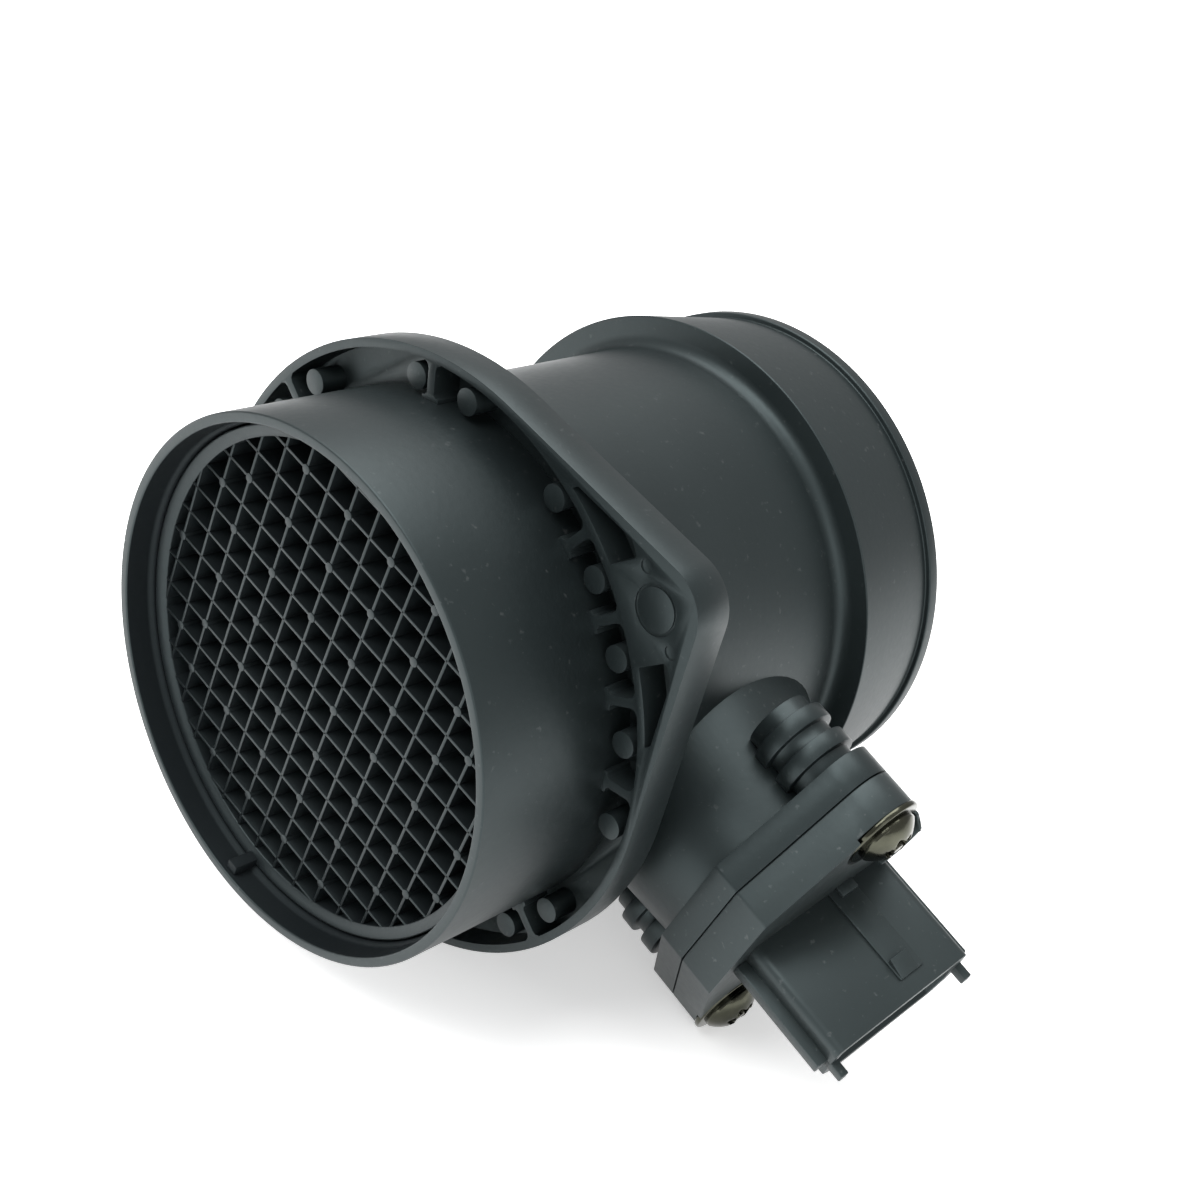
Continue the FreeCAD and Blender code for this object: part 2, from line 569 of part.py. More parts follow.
def add_bores(body):
    """Cut the air passage, the sensor opening and the pilot holes, and add the lattice key."""
    opening = sensor_sketch(body, "sensor_opening_outline", "joint_level")
    draw_rounded_box(opening, "seat_half_x", "seat_half_y", "seat_corner")
    add_feature(body, "Pocket", "sensor_opening", opening, "joint_level - turret_base")
    pilots = sensor_sketch(body, "pilot_outline", "joint_level")
    for sign in ("", "-"):
        draw_circle(pilots, "pilot_radius", x=sign + "(flange_skew)", y=sign + "(screw_pitch)")
    add_feature(body, "Pocket", "pilot_holes", pilots, "pilot_depth")
    inside = new_sketch(body, "duct_inside", "XZ_Plane")
    draw_outline(inside, (
        ("0", "0"), ("0", "rim_bore_radius"), ("grid_seat_x", "rim_bore_radius"),
        ("grid_seat_x", "bore_radius"), ("widening_x", "bore_radius"),
        ("widening_x + widening_length", "outlet_bore_radius"),
        ("duct_length", "outlet_bore_radius"), ("duct_length", "0")))
    add_turned(body, "Groove", "air_passage", inside)
    key = new_sketch(body, "lattice_key_outline", "YZ_Plane", level="rim_round",
                     axis=FRONT_TURN, turn="key_turn")
    draw_outline(key, (
        ("-key_width / 2", "rim_bore_radius - key_height"), ("key_width / 2", "rim_bore_radius - key_height"),
        ("key_width / 2", "(rim_bore_radius + inlet_radius) / 2"),
        ("-key_width / 2", "(rim_bore_radius + inlet_radius) / 2")))
    add_feature(body, "Pad", "lattice_key", key, "grid_seat_x - rim_round")


def make_inlet_grid():
    """Model the lattice: a notched ring, two sets of strips and the ejector pins."""
    body = new_body("inlet_grid")
    outer, inner = "(rim_bore_radius - grid_clearance)", "(rim_bore_radius - grid_clearance - grid_ring_wall)"
    front = "(grid_x + grid_bevel)"
    ring = new_sketch(body, "ring_section", "XZ_Plane")
    draw_outline(ring, (
        ("grid_x", outer + " - 0.2"), (front, inner), ("grid_seat_x", inner), ("grid_seat_x", outer),
        ("grid_x", outer)))
    add_turned(body, "Revolution", "ring", ring)
    reach = "(bore_radius + 0.5 * grid_ring_wall)"
    half = "strip_thickness / 2"
    for name, upright, shift in (("first", False, "grid_shift"), ("second", True, "0")):
        strips = new_sketch(body, "strip_outline_" + name, "YZ_Plane", level=front,
                            axis=FRONT_TURN, turn="grid_turn")
        last = int((number("bore_radius") - 1) / number("grid_pitch"))
        for index in range(-last, last + 1):
            middle = "(%s + %d * grid_pitch)" % (shift, index)
            end = "sqrt(%s ^ 2 - %s ^ 2)" % (reach, middle)
            low, high = "%s - %s" % (middle, half), "%s + %s" % (middle, half)
            corners = (("-" + end, low), (end, low), (end, high), ("-" + end, high))
            if upright:
                corners = tuple((y, x) for x, y in corners)
            draw_outline(strips, corners)
        add_feature(body, "Pad", "strips_" + name, strips, "grid_seat_x - grid_x - grid_bevel")
    pins = new_sketch(body, "pin_outline", "YZ_Plane", level=front + " - 0.1", axis=FRONT_TURN, turn="grid_turn")
    places = [(2 * column, 2 * row + 1) for column in range(-3, 4) for row in range(-4, 4)]
    for column, row in places + list(RIM_PINS):
        x, y = "%d * grid_pitch" % column, "grid_shift + %d * grid_pitch" % row
        if math.hypot(number(x), number(y)) < number("bore_radius - 1.5 * pin_radius"):
            draw_circle(pins, "pin_radius", x=x, y=y)
    add_feature(body, "Pad", "pins", pins, "grid_seat_x - grid_x - grid_bevel + 0.1")
    notch = new_sketch(body, "notch_outline", "YZ_Plane", level="grid_x", axis=FRONT_TURN, turn="key_turn")
    side, floor = "(key_width / 2 + key_clearance)", "rim_bore_radius - key_height - key_clearance"
    draw_outline(notch, (("-" + side, floor), (side, floor), (side, "inlet_radius"), ("-" + side, "inlet_radius")))
    add_feature(body, "Pocket", "key_notch", notch, "grid_seat_x - grid_x", reverse=True)
    turn_about_duct(body, "ear_turn")
    return body


def draw_turned_box(sketch, half_x, half_y, x="0", y="0"):
    """Draw a rectangle about a point of a sketch."""
    draw_outline(sketch, (
        ("%s - (%s)" % (x, half_x), "%s - (%s)" % (y, half_y)), ("%s + (%s)" % (x, half_x), "%s - (%s)" % (y, half_y)),
        ("%s + (%s)" % (x, half_x), "%s + (%s)" % (y, half_y)), ("%s - (%s)" % (x, half_x), "%s + (%s)" % (y, half_y))))


def header_sketch(body, name, level):
    """Start a sketch in the header's own turned frame."""
    return new_sketch(body, name, "XY_Plane", x="header_shift", level=level, axis=FRONT_TURN, turn="header_turn")


def draw_header_outline(sketch, inset):
    """Draw the header's outline, with its two far corners chamfered, moved inwards by an inset."""
    wide, deep = "(header_half_x - %s)" % inset, "(header_half_y - %s)" % inset
    cut = "(header_chamfer - 0.4 * %s)" % inset
    draw_outline(sketch, (
        ("-" + wide, deep), ("-" + wide, "%s - %s" % (cut, deep)), ("%s - %s" % (cut, wide), "-" + deep),
        ("%s - %s" % (wide, cut), "-" + deep), (wide, "%s - %s" % (cut, deep)), (wide, deep)))


def make_sensor_moulding():
    """Model the plug-in moulding: flange, header, plug and blade, before the terminals are set in it."""
    body = new_body("sensor_moulding")
    plate = new_sketch(body, "sensor_flange_outline", "XY_Plane", level="joint_level")
    draw_outline(plate, SENSOR_FLANGE)
    add_feature(body, "Pad", "sensor_flange", plate, "deck_level - joint_level")
    round_edges(body, "sensor_flange_corners", "flange_corner", lambda edge: is_upright(edge))
    seats = new_sketch(body, "washer_seat_outline", "XY_Plane", level="deck_level")
    holes = new_sketch(body, "screw_hole_outline", "XY_Plane", level="deck_level")
    for sign in ("", "-"):
        draw_circle(seats, "counterbore_radius", x=sign + "flange_skew", y=sign + "screw_pitch")
        draw_circle(holes, "screw_hole_radius", x=sign + "flange_skew", y=sign + "screw_pitch")
    add_feature(body, "Pocket", "washer_seats", seats, "counterbore_depth")
    add_feature(body, "Pocket", "screw_holes", holes, "deck_level - joint_level")
    plug = new_sketch(body, "plug_outline", "XY_Plane", level="joint_level - plug_depth")
    draw_rounded_box(plug, "seat_half_x - seat_clearance", "seat_half_y - seat_clearance",
                     "seat_corner - seat_clearance")
    add_feature(body, "Pad", "plug", plug, "plug_depth")
    blade = new_sketch(body, "blade_outline", "XY_Plane", level="blade_tip")
    draw_rounded_box(blade, "blade_half_x", "blade_half_y", "blade_half_y / 3")
    add_feature(body, "Pad", "blade", blade, "joint_level - blade_tip")
    groove = new_sketch(body, "groove_outline", "XY_Plane", level="joint_level - groove_top")
    draw_rounded_box(groove, "seat_half_x + 1", "seat_half_y + 1", "seat_corner")
    draw_seal_bed(groove)
    add_feature(body, "Pocket", "seal_groove", groove, "groove_height")
    add_header(body)
    add_blade_pockets(body)
    turn_about_duct(body, SENSOR_TURN, "sensor_x")
    return body


def draw_seal_bed(sketch):
    """Draw the outline of the groove floor that the seal ring lies on."""
    draw_rounded_box(sketch, "seat_half_x - seat_clearance - groove_depth",
                     "seat_half_y - seat_clearance - groove_depth", "seat_corner - seat_clearance - groove_depth")


def add_header(body):
    """Add the header with its rails, pegs, latch strip, latch ramp and socket."""
    mouth = "deck_level + header_length"
    outline = header_sketch(body, "header_outline", "deck_level - counterbore_depth")
    draw_header_outline(outline, "0")
    add_feature(body, "Pad", "header", outline, "header_length + counterbore_depth")
    round_edges(body, "header_corners", "header_corner",
                lambda edge: is_upright(edge, number("deck_level") - 1.5, 0.9 * number("header_length")))
    strip = header_sketch(body, "latch_strip_outline", "deck_level - counterbore_depth")
    draw_turned_box(strip, "latch_half", "latch_strip_height", "latch_shift", "header_half_y")
    add_feature(body, "Pad", "latch_strip", strip,
                "header_length + counterbore_depth - latch_setback")
    ramp = header_sketch(body, "latch_ramp_outline", "%s - latch_setback - latch_length" % mouth)
    draw_turned_box(ramp, "0.8 * latch_half", "latch_height", "latch_shift", "header_half_y")
    add_feature(body, "Pad", "latch_ramp", ramp, "latch_length")
    top = number(mouth) - number("latch_setback") - number("latch_length")
    line = Vector(math.cos(math.radians(number("header_turn"))), math.sin(math.radians(number("header_turn"))), 0)
    far = number("header_half_y + latch_height")

    def is_ramp_foot(edge):
        """Tell whether an edge is the outer lower edge of the latch ramp."""
        if len(edge.Vertexes) != 2 or abs(edge.BoundBox.ZMax - top) > 0.01 or edge.BoundBox.ZLength > 0.01:
            return False
        off = edge.CenterOfMass - Vector(number("header_shift"), 0, 0)
        return abs(off.dot(Vector(-line.y, line.x, 0)) - far) < 0.05
    round_edges(body, "latch_slope", "0.9 * (latch_height - latch_strip_height)", is_ramp_foot, kind="Chamfer")
    rails = header_sketch(body, "rail_outline", "deck_level")
    pegs = header_sketch(body, "peg_outline", "%s - 3 * peg_length" % mouth)
    for sign in ("-", ""):
        draw_turned_box(rails, "rail_height", "rail_half", sign + "header_half_x", "header_rail_y")
        draw_turned_box(pegs, "peg_half", "peg_half", "%s(header_half_x + rail_height - peg_half)" % sign,
                        "header_rail_y")
    add_feature(body, "Pad", "rails", rails, "header_length - rail_setback")
    add_feature(body, "Pad", "pegs", pegs, "4 * peg_length")
    socket = header_sketch(body, "socket_outline", mouth)
    draw_header_outline(socket, "header_wall")
    add_feature(body, "Pocket", "socket", socket, "socket_depth")


def side_sketch(body, name, y):
    """Start a sketch across the blade; its second axis runs towards the header."""
    return new_sketch(body, name, "XZ_Plane", level="-(%s)" % y)


def draw_box(sketch, left, right, low, high):
    """Draw a rectangle by its four sides."""
    draw_outline(sketch, ((left, low), (right, low), (right, high), (left, high)))


def add_blade_pockets(body):
    """Cut the electronics bay, the bypass channel, the lid seats and the probe recess in the blade."""
    face = "blade_half_y"
    lid_floor = "blade_half_y - lid_thickness"
    first, second = "channel_mouth - channel_width / 2", "channel_mouth + channel_width / 2"
    cuts = (
        ("bay_lid_seat", face, "lid_thickness", "-bay_half_x - lid_ledge", "bay_half_x + lid_ledge",
         "bay_bottom - lid_ledge", "bay_top + lid_ledge"),
        ("bay", lid_floor, "blade_half_y - lid_thickness - bay_floor_y", "-bay_half_x", "bay_half_x",
         "bay_bottom", "bay_top"),
        ("channel_lid_seat", face, "lid_thickness", "-blade_half_x", "channel_back_x + lid_ledge",
         first + " - lid_ledge", "channel_top + lid_ledge"),
        ("lower_run", lid_floor, "blade_half_y - lid_thickness + channel_floor", "-blade_half_x",
         "channel_back_x", first, second),
        ("rising_run", lid_floor, "blade_half_y - lid_thickness + channel_floor",
         "channel_back_x - channel_width", "channel_back_x", first, "channel_top"),
        ("upper_run", lid_floor, "blade_half_y - lid_thickness + channel_floor", "-channel_end_x",
         "channel_back_x", "channel_top - channel_width", "channel_top"),
        ("channel_exit", lid_floor, "2 * blade_half_y - lid_thickness", "-channel_end_x",
         "channel_width - channel_end_x", "channel_top - channel_width", "channel_top"),
        ("chip_slot", "bay_floor_y + chip_thickness", "chip_thickness", "-chip_half_x", "chip_half_x",
         "channel_top - 0.5 * channel_width", "bay_bottom + 0.5 * channel_width"),
        ("probe_recess", "probe_bay_depth - blade_half_y", "probe_bay_depth", "-probe_bay_half_x",
         "probe_bay_half_x", "2 * probe_level - probe_bay_top + 5", "probe_bay_top"),
    )
    for name, y, depth, left, right, low, high in cuts:
        sketch = side_sketch(body, name + "_outline", y)
        draw_box(sketch, left, right, low, high)
        add_feature(body, "Pocket", name, sketch, depth, reverse=True)


def make_slab(name, y, thickness, left, right, low, high):
    """Model a flat piece that lies across the blade."""
    body = new_body(name)
    sketch = side_sketch(body, name + "_outline", y)
    draw_box(sketch, left, right, low, high)
    add_feature(body, "Pad", name + "_plate", sketch, thickness)
    turn_about_duct(body, SENSOR_TURN, "sensor_x")
    return body


def make_terminal(index):
    """Model one terminal: board end, bend in the moulding and the blade in the socket."""
    body = new_body("terminal_%d" % index)
    place = "(%d - (terminal_count + 1) / 2)" % index
    half_x, half_y = "terminal_width / 2", "terminal_thickness / 2"
    board_y = "bay_floor_y + plate_thickness + board_thickness + terminal_thickness / 2"
    low = new_sketch(body, "board_end_%d" % index, "XY_Plane", level="board_top - terminal_overlap")
    draw_turned_box(low, half_x, half_y, place + " * terminal_board_pitch", board_y)
    add_feature(body, "Pad", "board_leg_%d" % index, low, "terminal_bend - board_top + terminal_overlap")
    start = new_sketch(body, "bend_start_%d" % index, "XY_Plane", level="terminal_bend")
    draw_turned_box(start, half_x, half_y, place + " * terminal_board_pitch", board_y)
    end = header_sketch(body, "bend_end_%d" % index, "terminal_bend + terminal_bend_height")
    draw_turned_box(end, half_x, half_y, place + " * terminal_pitch", "0")
    bend = body.newObject("PartDesign::AdditiveLoft", "bend_%d" % index)
    bend.Profile = start
    bend.Sections = [end]
    bend.Ruled = True
    top = header_sketch(body, "socket_end_%d" % index, "terminal_bend + terminal_bend_height")
    draw_turned_box(top, half_x, half_y, place + " * terminal_pitch", "0")
    add_feature(body, "Pad", "socket_leg_%d" % index, top,
                "deck_level + header_length - socket_depth + terminal_reach - terminal_bend"
                " - terminal_bend_height")
    doc.recompute()
    tip = number("deck_level + header_length - socket_depth + terminal_reach")
    round_edges(body, "tip_bevel_%d" % index, "0.3 * terminal_thickness",
                lambda edge: abs(edge.BoundBox.ZMin - tip) < 0.01, kind="Chamfer")
    turn_about_duct(body, SENSOR_TURN, "sensor_x")
    return body


def make_probe():
    """Model the air temperature probe: a bead on two leads."""
    body = new_body("temperature_probe")
    middle = "(probe_bay_depth / 2 - blade_half_y)"
    bead = new_sketch(body, "bead_section", "XY_Plane", y=middle, level="probe_level - 1.2 * probe_radius")
    draw_circle(bead, "probe_radius")
    add_feature(body, "Pad", "bead", bead, "2.4 * probe_radius")
    round_edges(body, "bead_ends", "0.6 * probe_radius", lambda edge: isinstance(edge.Curve, Part.Circle))
    leads = new_sketch(body, "lead_section", "XY_Plane", y=middle, level="probe_level")
    for sign in ("-", ""):
        draw_circle(leads, "probe_lead_radius", x=sign + "probe_lead_pitch / 2")
    add_feature(body, "Pad", "leads", leads, "probe_bay_top - probe_level + 2")
    turn_about_duct(body, SENSOR_TURN, "sensor_x")
    return body


def make_sensor_body(moulding, inserts):
    """Cut the moulded-in pieces out of the moulding."""
    held = doc.addObject("Part::MultiFuse", "moulded_in_pieces")
    held.Shapes = inserts
    cut = doc.addObject("Part::Cut", "sensor_body")
    cut.Label = "sensor_body"
    cut.Base = moulding
    cut.Tool = held
    return cut


def make_seal_ring():
    """Model the seal ring that lies in the groove of the plug."""
    body = new_body("seal_ring")
    sketch = new_sketch(body, "seal_outline", "XY_Plane", level="joint_level - groove_top - groove_height")
    draw_rounded_box(sketch, "seat_half_x", "seat_half_y", "seat_corner")
    draw_seal_bed(sketch)
    add_feature(body, "Pad", "seal", sketch, "seal_height")
    round_edges(body, "seal_rounds", "seal_round", lambda edge: edge.BoundBox.ZLength < 0.001)
    turn_about_duct(body, SENSOR_TURN, "sensor_x")
    return body


def place_at_screw(piece, sign, level):
    """Put a piece made about local +Z on one of the two screw axes."""
    turn = "((%s) * 1 deg)" % SENSOR_TURN
    across = "(%s(screw_pitch))" % sign
    piece.Placement = Placement(Vector(0, 0, 0), Rotation(FRONT, number(SENSOR_TURN)))
    bind(piece, "Placement.Rotation.Angle", turn)
    bind(piece, "Placement.Base.x", "sensor_x + (%s(flange_skew)) - flange_x" % sign)
    bind(piece, "Placement.Base.y", "%s * cos(%s) - (%s) * sin(%s)" % (across, turn, level, turn))
    bind(piece, "Placement.Base.z", "%s * sin(%s) + (%s) * cos(%s)" % (across, turn, level, turn))


def make_washer(name, sign):
    """Model the washer under a screw head."""
    body = new_body(name)
    sketch = new_sketch(body, name + "_outline", "XY_Plane")
    draw_circle(sketch, "washer_radius")
    draw_circle(sketch, "pilot_radius + washer_gap")
    add_feature(body, "Pad", name + "_disc", sketch, "washer_thickness")
    radius = number("washer_radius")
    round_edges(body, name + "_rounds", "washer_round",
                lambda edge: isinstance(edge.Curve, Part.Circle) and abs(edge.Curve.Radius - radius) < 0.01)
    place_at_screw(body, sign, "deck_level - counterbore_depth")
    return body


def make_screw(name, sign):
    """Model a domed screw with a six-lobed recess and a centre pin."""
    body = new_body(name)
    section = new_sketch(body, name + "_section", "XZ_Plane")
    dome = "((head_radius ^ 2 + (head_height - head_band) ^ 2) / (2 * (head_height - head_band)))"
    points = (("0", "head_height"), ("0", "-shank_length"), ("0.7 * pilot_radius", "-shank_length"),
              ("pilot_radius", "0.6 * pilot_radius - shank_length"), ("pilot_radius", "0"),
              ("head_radius", "0"), ("head_radius", "head_band"))
    corners = [Vector(number(x), number(y), 0) for x, y in points]
    for index in range(len(corners) - 1):
        section.addGeometry(Part.LineSegment(corners[index], corners[index + 1]))
    centre = Vector(0, number("head_height - " + dome), 0)
    start = math.atan2(corners[-1].y - centre.y, corners[-1].x)
    circle = Part.Circle(centre, Vector(0, 0, 1), number(dome))
    arc = section.addGeometry(Part.ArcOfCircle(circle, start, math.pi / 2))
    for index in range(len(corners) - 2):
        section.addConstraint(Sketcher.Constraint("Coincident", index, 2, index + 1, 1))
    section.addConstraint(Sketcher.Constraint("Coincident", arc - 1, 2, arc, 1))
    section.addConstraint(Sketcher.Constraint("Coincident", arc, 2, 0, 1))
    for index, (x, y) in enumerate(points[:-1]):
        place_point(section, index, 1, x, y)
    place_point(section, arc - 1, 2, *points[-1])
    section.addConstraint(Sketcher.Constraint("PointOnObject", arc, 3, -2))
    add_turned(body, "Revolution", name + "_solid", section, axis="V_Axis")
    drive = new_sketch(body, name + "_drive_outline", "XY_Plane", level="head_height")
    draw_circle(drive, "recess_radius")
    add_feature(body, "Pocket", name + "_drive", drive, "recess_depth")
    lobe = new_sketch(body, name + "_lobe_outline", "XY_Plane", level="head_height")
    draw_circle(lobe, "recess_lobe_radius", x="recess_radius")
    cut = add_feature(body, "Pocket", name + "_lobe", lobe, "recess_depth")
    lobes = body.newObject("PartDesign::PolarPattern", name + "_lobes")
    lobes.Originals = [cut]
    lobes.Axis = ([feature for feature in body.Origin.OriginFeatures if feature.Role == "Z_Axis"][0], [""])
    lobes.Angle = 360
    lobes.Occurrences = 6
    body.Tip = lobes
    pin = new_sketch(body, name + "_pin_outline", "XY_Plane", level="head_height - recess_depth")
    draw_circle(pin, "recess_pin_radius")
    add_feature(body, "Pad", name + "_pin", pin, "0.8 * recess_depth")
    place_at_screw(body, sign, "deck_level - counterbore_depth + washer_thickness")
    return body


def make_ear_insert(name, turn):
    """Model a threaded insert in the rear of an ear."""
    body = new_body(name)
    sketch = new_sketch(body, name + "_outline", "YZ_Plane", level="flange_x + flange_thickness - insert_length")
    draw_circle(sketch, "insert_radius", y="ear_pitch")
    draw_circle(sketch, "insert_bore_radius", y="ear_pitch")
    add_feature(body, "Pad", name + "_tube", sketch, "insert_length")
    turn_about_duct(body, turn)
    return body


def main():
    """Build every piece, check it and export it."""
    housing = make_duct_housing()
    grid = make_inlet_grid()
    moulding = make_sensor_moulding()
    terminals = [make_terminal(index + 1) for index in range(int(number("terminal_count")))]
    probe = make_probe()
    lid_y = "blade_half_y"
    plate_y = "bay_floor_y + plate_thickness"
    first, top = "channel_mouth - channel_width / 2 - lid_ledge", "channel_top + lid_ledge"
    pieces = [housing, grid] + terminals + [
        probe,
        make_sensor_body(moulding, terminals + [probe]),
        make_seal_ring(),
        make_washer("washer_rear", ""),
        make_washer("washer_front", "-"),
        make_screw("screw_rear", ""),
        make_screw("screw_front", "-"),
        make_slab("electronics_cover", lid_y, "lid_thickness", "-bay_half_x - lid_ledge",
                  "bay_half_x + lid_ledge", "bay_bottom - lid_ledge", "bay_top + lid_ledge"),
        make_slab("bypass_cover", lid_y, "lid_thickness", "-blade_half_x", "channel_back_x + lid_ledge",
                  first, top),
        make_slab("carrier_plate", plate_y, "plate_thickness", "plate_gap - bay_half_x",
                  "bay_half_x - plate_gap", "chip_top + plate_gap", "bay_top - plate_gap"),
        make_slab("circuit_board", plate_y + " + board_thickness", "board_thickness", "-board_half_x",
                  "board_half_x", "board_bottom", "board_top"),
        make_slab("sensing_chip", "bay_floor_y + chip_thickness", "chip_thickness", "-chip_half_x",
                  "chip_half_x", "chip_bottom", "chip_top"),
        make_ear_insert("ear_insert_1", "ear_turn"),
        make_ear_insert("ear_insert_2", "ear_turn + 180"),
    ]
    doc.recompute()
    for item in doc.Objects:
        if "Invalid" in item.State or "Error" in item.State:
            raise RuntimeError("%s did not rebuild: %s" % (item.Name, item.State))
    os.makedirs("parts", exist_ok=True)
    for piece in pieces:
        shape = piece.Shape
        if shape.isNull() or not shape.isValid():
            raise RuntimeError(piece.Label + " has no valid shape")
        shape.exportStep("parts/%s.step" % piece.Label)
        print(piece.Label, round(shape.Volume, 1), len(shape.Solids))


main()
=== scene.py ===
"""Looks of a mass airflow sensor: duct, ribbed flange, lattice, plug-in sensor and its fasteners.

Every size is in millimetres and is turned into metres when a piece is put in place. A piece is
modelled about its own local +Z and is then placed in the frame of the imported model.
"""
import logging
import math
from dataclasses import dataclass, field
from enum import Enum
from typing import Sequence

import bpy
from mathutils import Matrix, Vector, geometry


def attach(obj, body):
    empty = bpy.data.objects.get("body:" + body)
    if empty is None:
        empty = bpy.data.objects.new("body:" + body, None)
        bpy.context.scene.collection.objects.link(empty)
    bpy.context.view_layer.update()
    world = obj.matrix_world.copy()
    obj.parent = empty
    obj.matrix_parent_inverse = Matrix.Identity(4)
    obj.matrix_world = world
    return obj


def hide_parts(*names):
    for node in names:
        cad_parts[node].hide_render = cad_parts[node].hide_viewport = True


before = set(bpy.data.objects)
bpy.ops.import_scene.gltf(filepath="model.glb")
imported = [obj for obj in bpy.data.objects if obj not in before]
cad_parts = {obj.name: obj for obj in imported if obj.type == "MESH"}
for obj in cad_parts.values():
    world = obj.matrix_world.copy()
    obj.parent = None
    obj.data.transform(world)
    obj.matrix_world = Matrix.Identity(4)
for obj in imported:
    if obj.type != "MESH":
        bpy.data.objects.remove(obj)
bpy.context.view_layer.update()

LOG = logging.getLogger("mass_airflow_sensor")
MM = 0.001
Piece = bpy.types.Object
Socket = bpy.types.NodeSocket
Tree = bpy.types.NodeTree
Point = tuple[float, float]
Triple = tuple[float, float, float]
Quad = tuple[float, float, float, float]
Outline = list[Point]

EAR_TURN = 53.2
SENSOR_TURN = 108.3
FLANGE_X = 24.0
SENSOR_X = 53.9
FLOOR_LEVEL = -49.9

OVER = 1.0
"""How far a cutting tool runs past the piece that it cuts."""

CLOUD_DETAIL, GRAIN_DETAIL = 4.0, 2.0
TONE_ENDS: Point = (0.3, 0.7)
DUST_COLOUR = (0.20, 0.21, 0.21, 1)
DUST_SCALE, DUST_DETAIL = 800.0, 3.0
DUST_RANGE: Point = (0.66, 0.76)
MIX_FACTOR, MIX_BELOW, MIX_ABOVE, MIX_RESULT = 0, 6, 7, 2
"""Places of the sockets of a mix node that is set to colours."""


class Operation(Enum):
    """What a tool does to the piece that it meets."""

    CUT = "DIFFERENCE"
    JOIN = "UNION"


class Axis(Enum):
    """Which local frame a piece is modelled in."""

    DUCT = "duct"
    SENSOR = "sensor"


def place_of(axis: Axis) -> Matrix:
    """Return the matrix from a local frame, in millimetres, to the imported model's frame.

    Args:
        axis: DUCT has local +Z down the duct from the inlet face and local +Y to the first ear.
            SENSOR has local +Z out to the header and local +X down the duct.

    Returns:
        The placing matrix, which also turns millimetres into metres.
    """
    metres = Matrix.Scale(MM, 4)
    if axis is Axis.DUCT:
        cycle = Matrix(((0, 0, 1, 0), (1, 0, 0, 0), (0, 1, 0, 0), (0, 0, 0, 1)))
        return metres @ Matrix.Translation((-FLANGE_X, 0,
                                            0)) @ Matrix.Rotation(math.radians(EAR_TURN), 4,
                                                                  "X") @ cycle
    shift = Matrix.Translation((SENSOR_X - FLANGE_X, 0, 0))
    return metres @ shift @ Matrix.Rotation(math.radians(SENSOR_TURN), 4, "X")


def deselect_all() -> None:
    """Leave edit mode and select nothing."""
    if bpy.context.object is not None and bpy.context.object.mode != "OBJECT":
        bpy.ops.object.mode_set(mode="OBJECT")
    bpy.ops.object.select_all(action="DESELECT")


def take(piece: Piece) -> Piece:
    """Select one piece alone and make it active.

    Args:
        piece: The piece to select.

    Returns:
        The same piece.
    """
    deselect_all()
    piece.select_set(True)
    bpy.context.view_layer.objects.active = piece
    return piece


def apply_modifier(piece: Piece, kind: str, **settings: object) -> None:
    """Add a modifier to a piece, set it and apply it.

    Args:
        piece: The piece to change.
        kind: Blender's name for the modifier.
        **settings: The modifier's properties.
    """
    take(piece)
    modifier = piece.modifiers.new(kind.title(), kind)
    for key, value in settings.items():
        setattr(modifier, key, value)
    bpy.ops.object.modifier_apply(modifier=modifier.name)


def combine(piece: Piece, tool: Piece, operation: Operation) -> None:
    """Combine a tool with a piece, and remove the tool."""
    apply_modifier(piece, "BOOLEAN", object=tool, operation=operation.value, solver="MANIFOLD")
    bpy.data.objects.remove(tool)


def cut(piece: Piece, tool: Piece) -> None:
    """Cut a tool out of a piece."""
    combine(piece, tool, Operation.CUT)


def join(piece: Piece, tool: Piece) -> None:
    """Join a tool to a piece."""
    combine(piece, tool, Operation.JOIN)


def round_edges(piece: Piece, width: float, segments: int = 2, angle: float = 32.0) -> None:
    """Round every edge of a piece that is sharper than an angle."""
    apply_modifier(piece, "BEVEL", width=width, segments=segments, limit_method="ANGLE",
                   angle_limit=math.radians(angle), use_clamp_overlap=True)


def merge(pieces: Sequence[Piece], name: str) -> Piece:
    """Join several meshes into one object.

    Args:
        pieces: The meshes, of which the first takes up the others.
        name: The joined piece's name.

    Returns:
        The joined piece.
    """
    take(pieces[0])
    for piece in pieces[1:]:
        piece.select_set(True)
    bpy.ops.object.join()
    pieces[0].name = name
    return pieces[0]


def finish_shape(piece: Piece, axis: Axis, smooth: float = 34.0) -> Piece:
    """Put a piece in its place in the model's frame and shade it smooth.

    Args:
        piece: A piece modelled in millimetres in a local frame.
        axis: The local frame.
        smooth: Edges sharper than this many degrees stay sharp.

    Returns:
        The same piece, with its object at the origin.
    """
    take(piece)
    piece.data.transform(piece.matrix_world)
    piece.matrix_world = Matrix.Identity(4)
    piece.data.transform(place_of(axis))
    bpy.ops.object.mode_set(mode="EDIT")
    bpy.ops.mesh.select_all(action="SELECT")
    bpy.ops.mesh.normals_make_consistent(inside=False)
    bpy.ops.object.mode_set(mode="OBJECT")
    bpy.ops.object.shade_smooth_by_angle(angle=math.radians(smooth))
    return piece


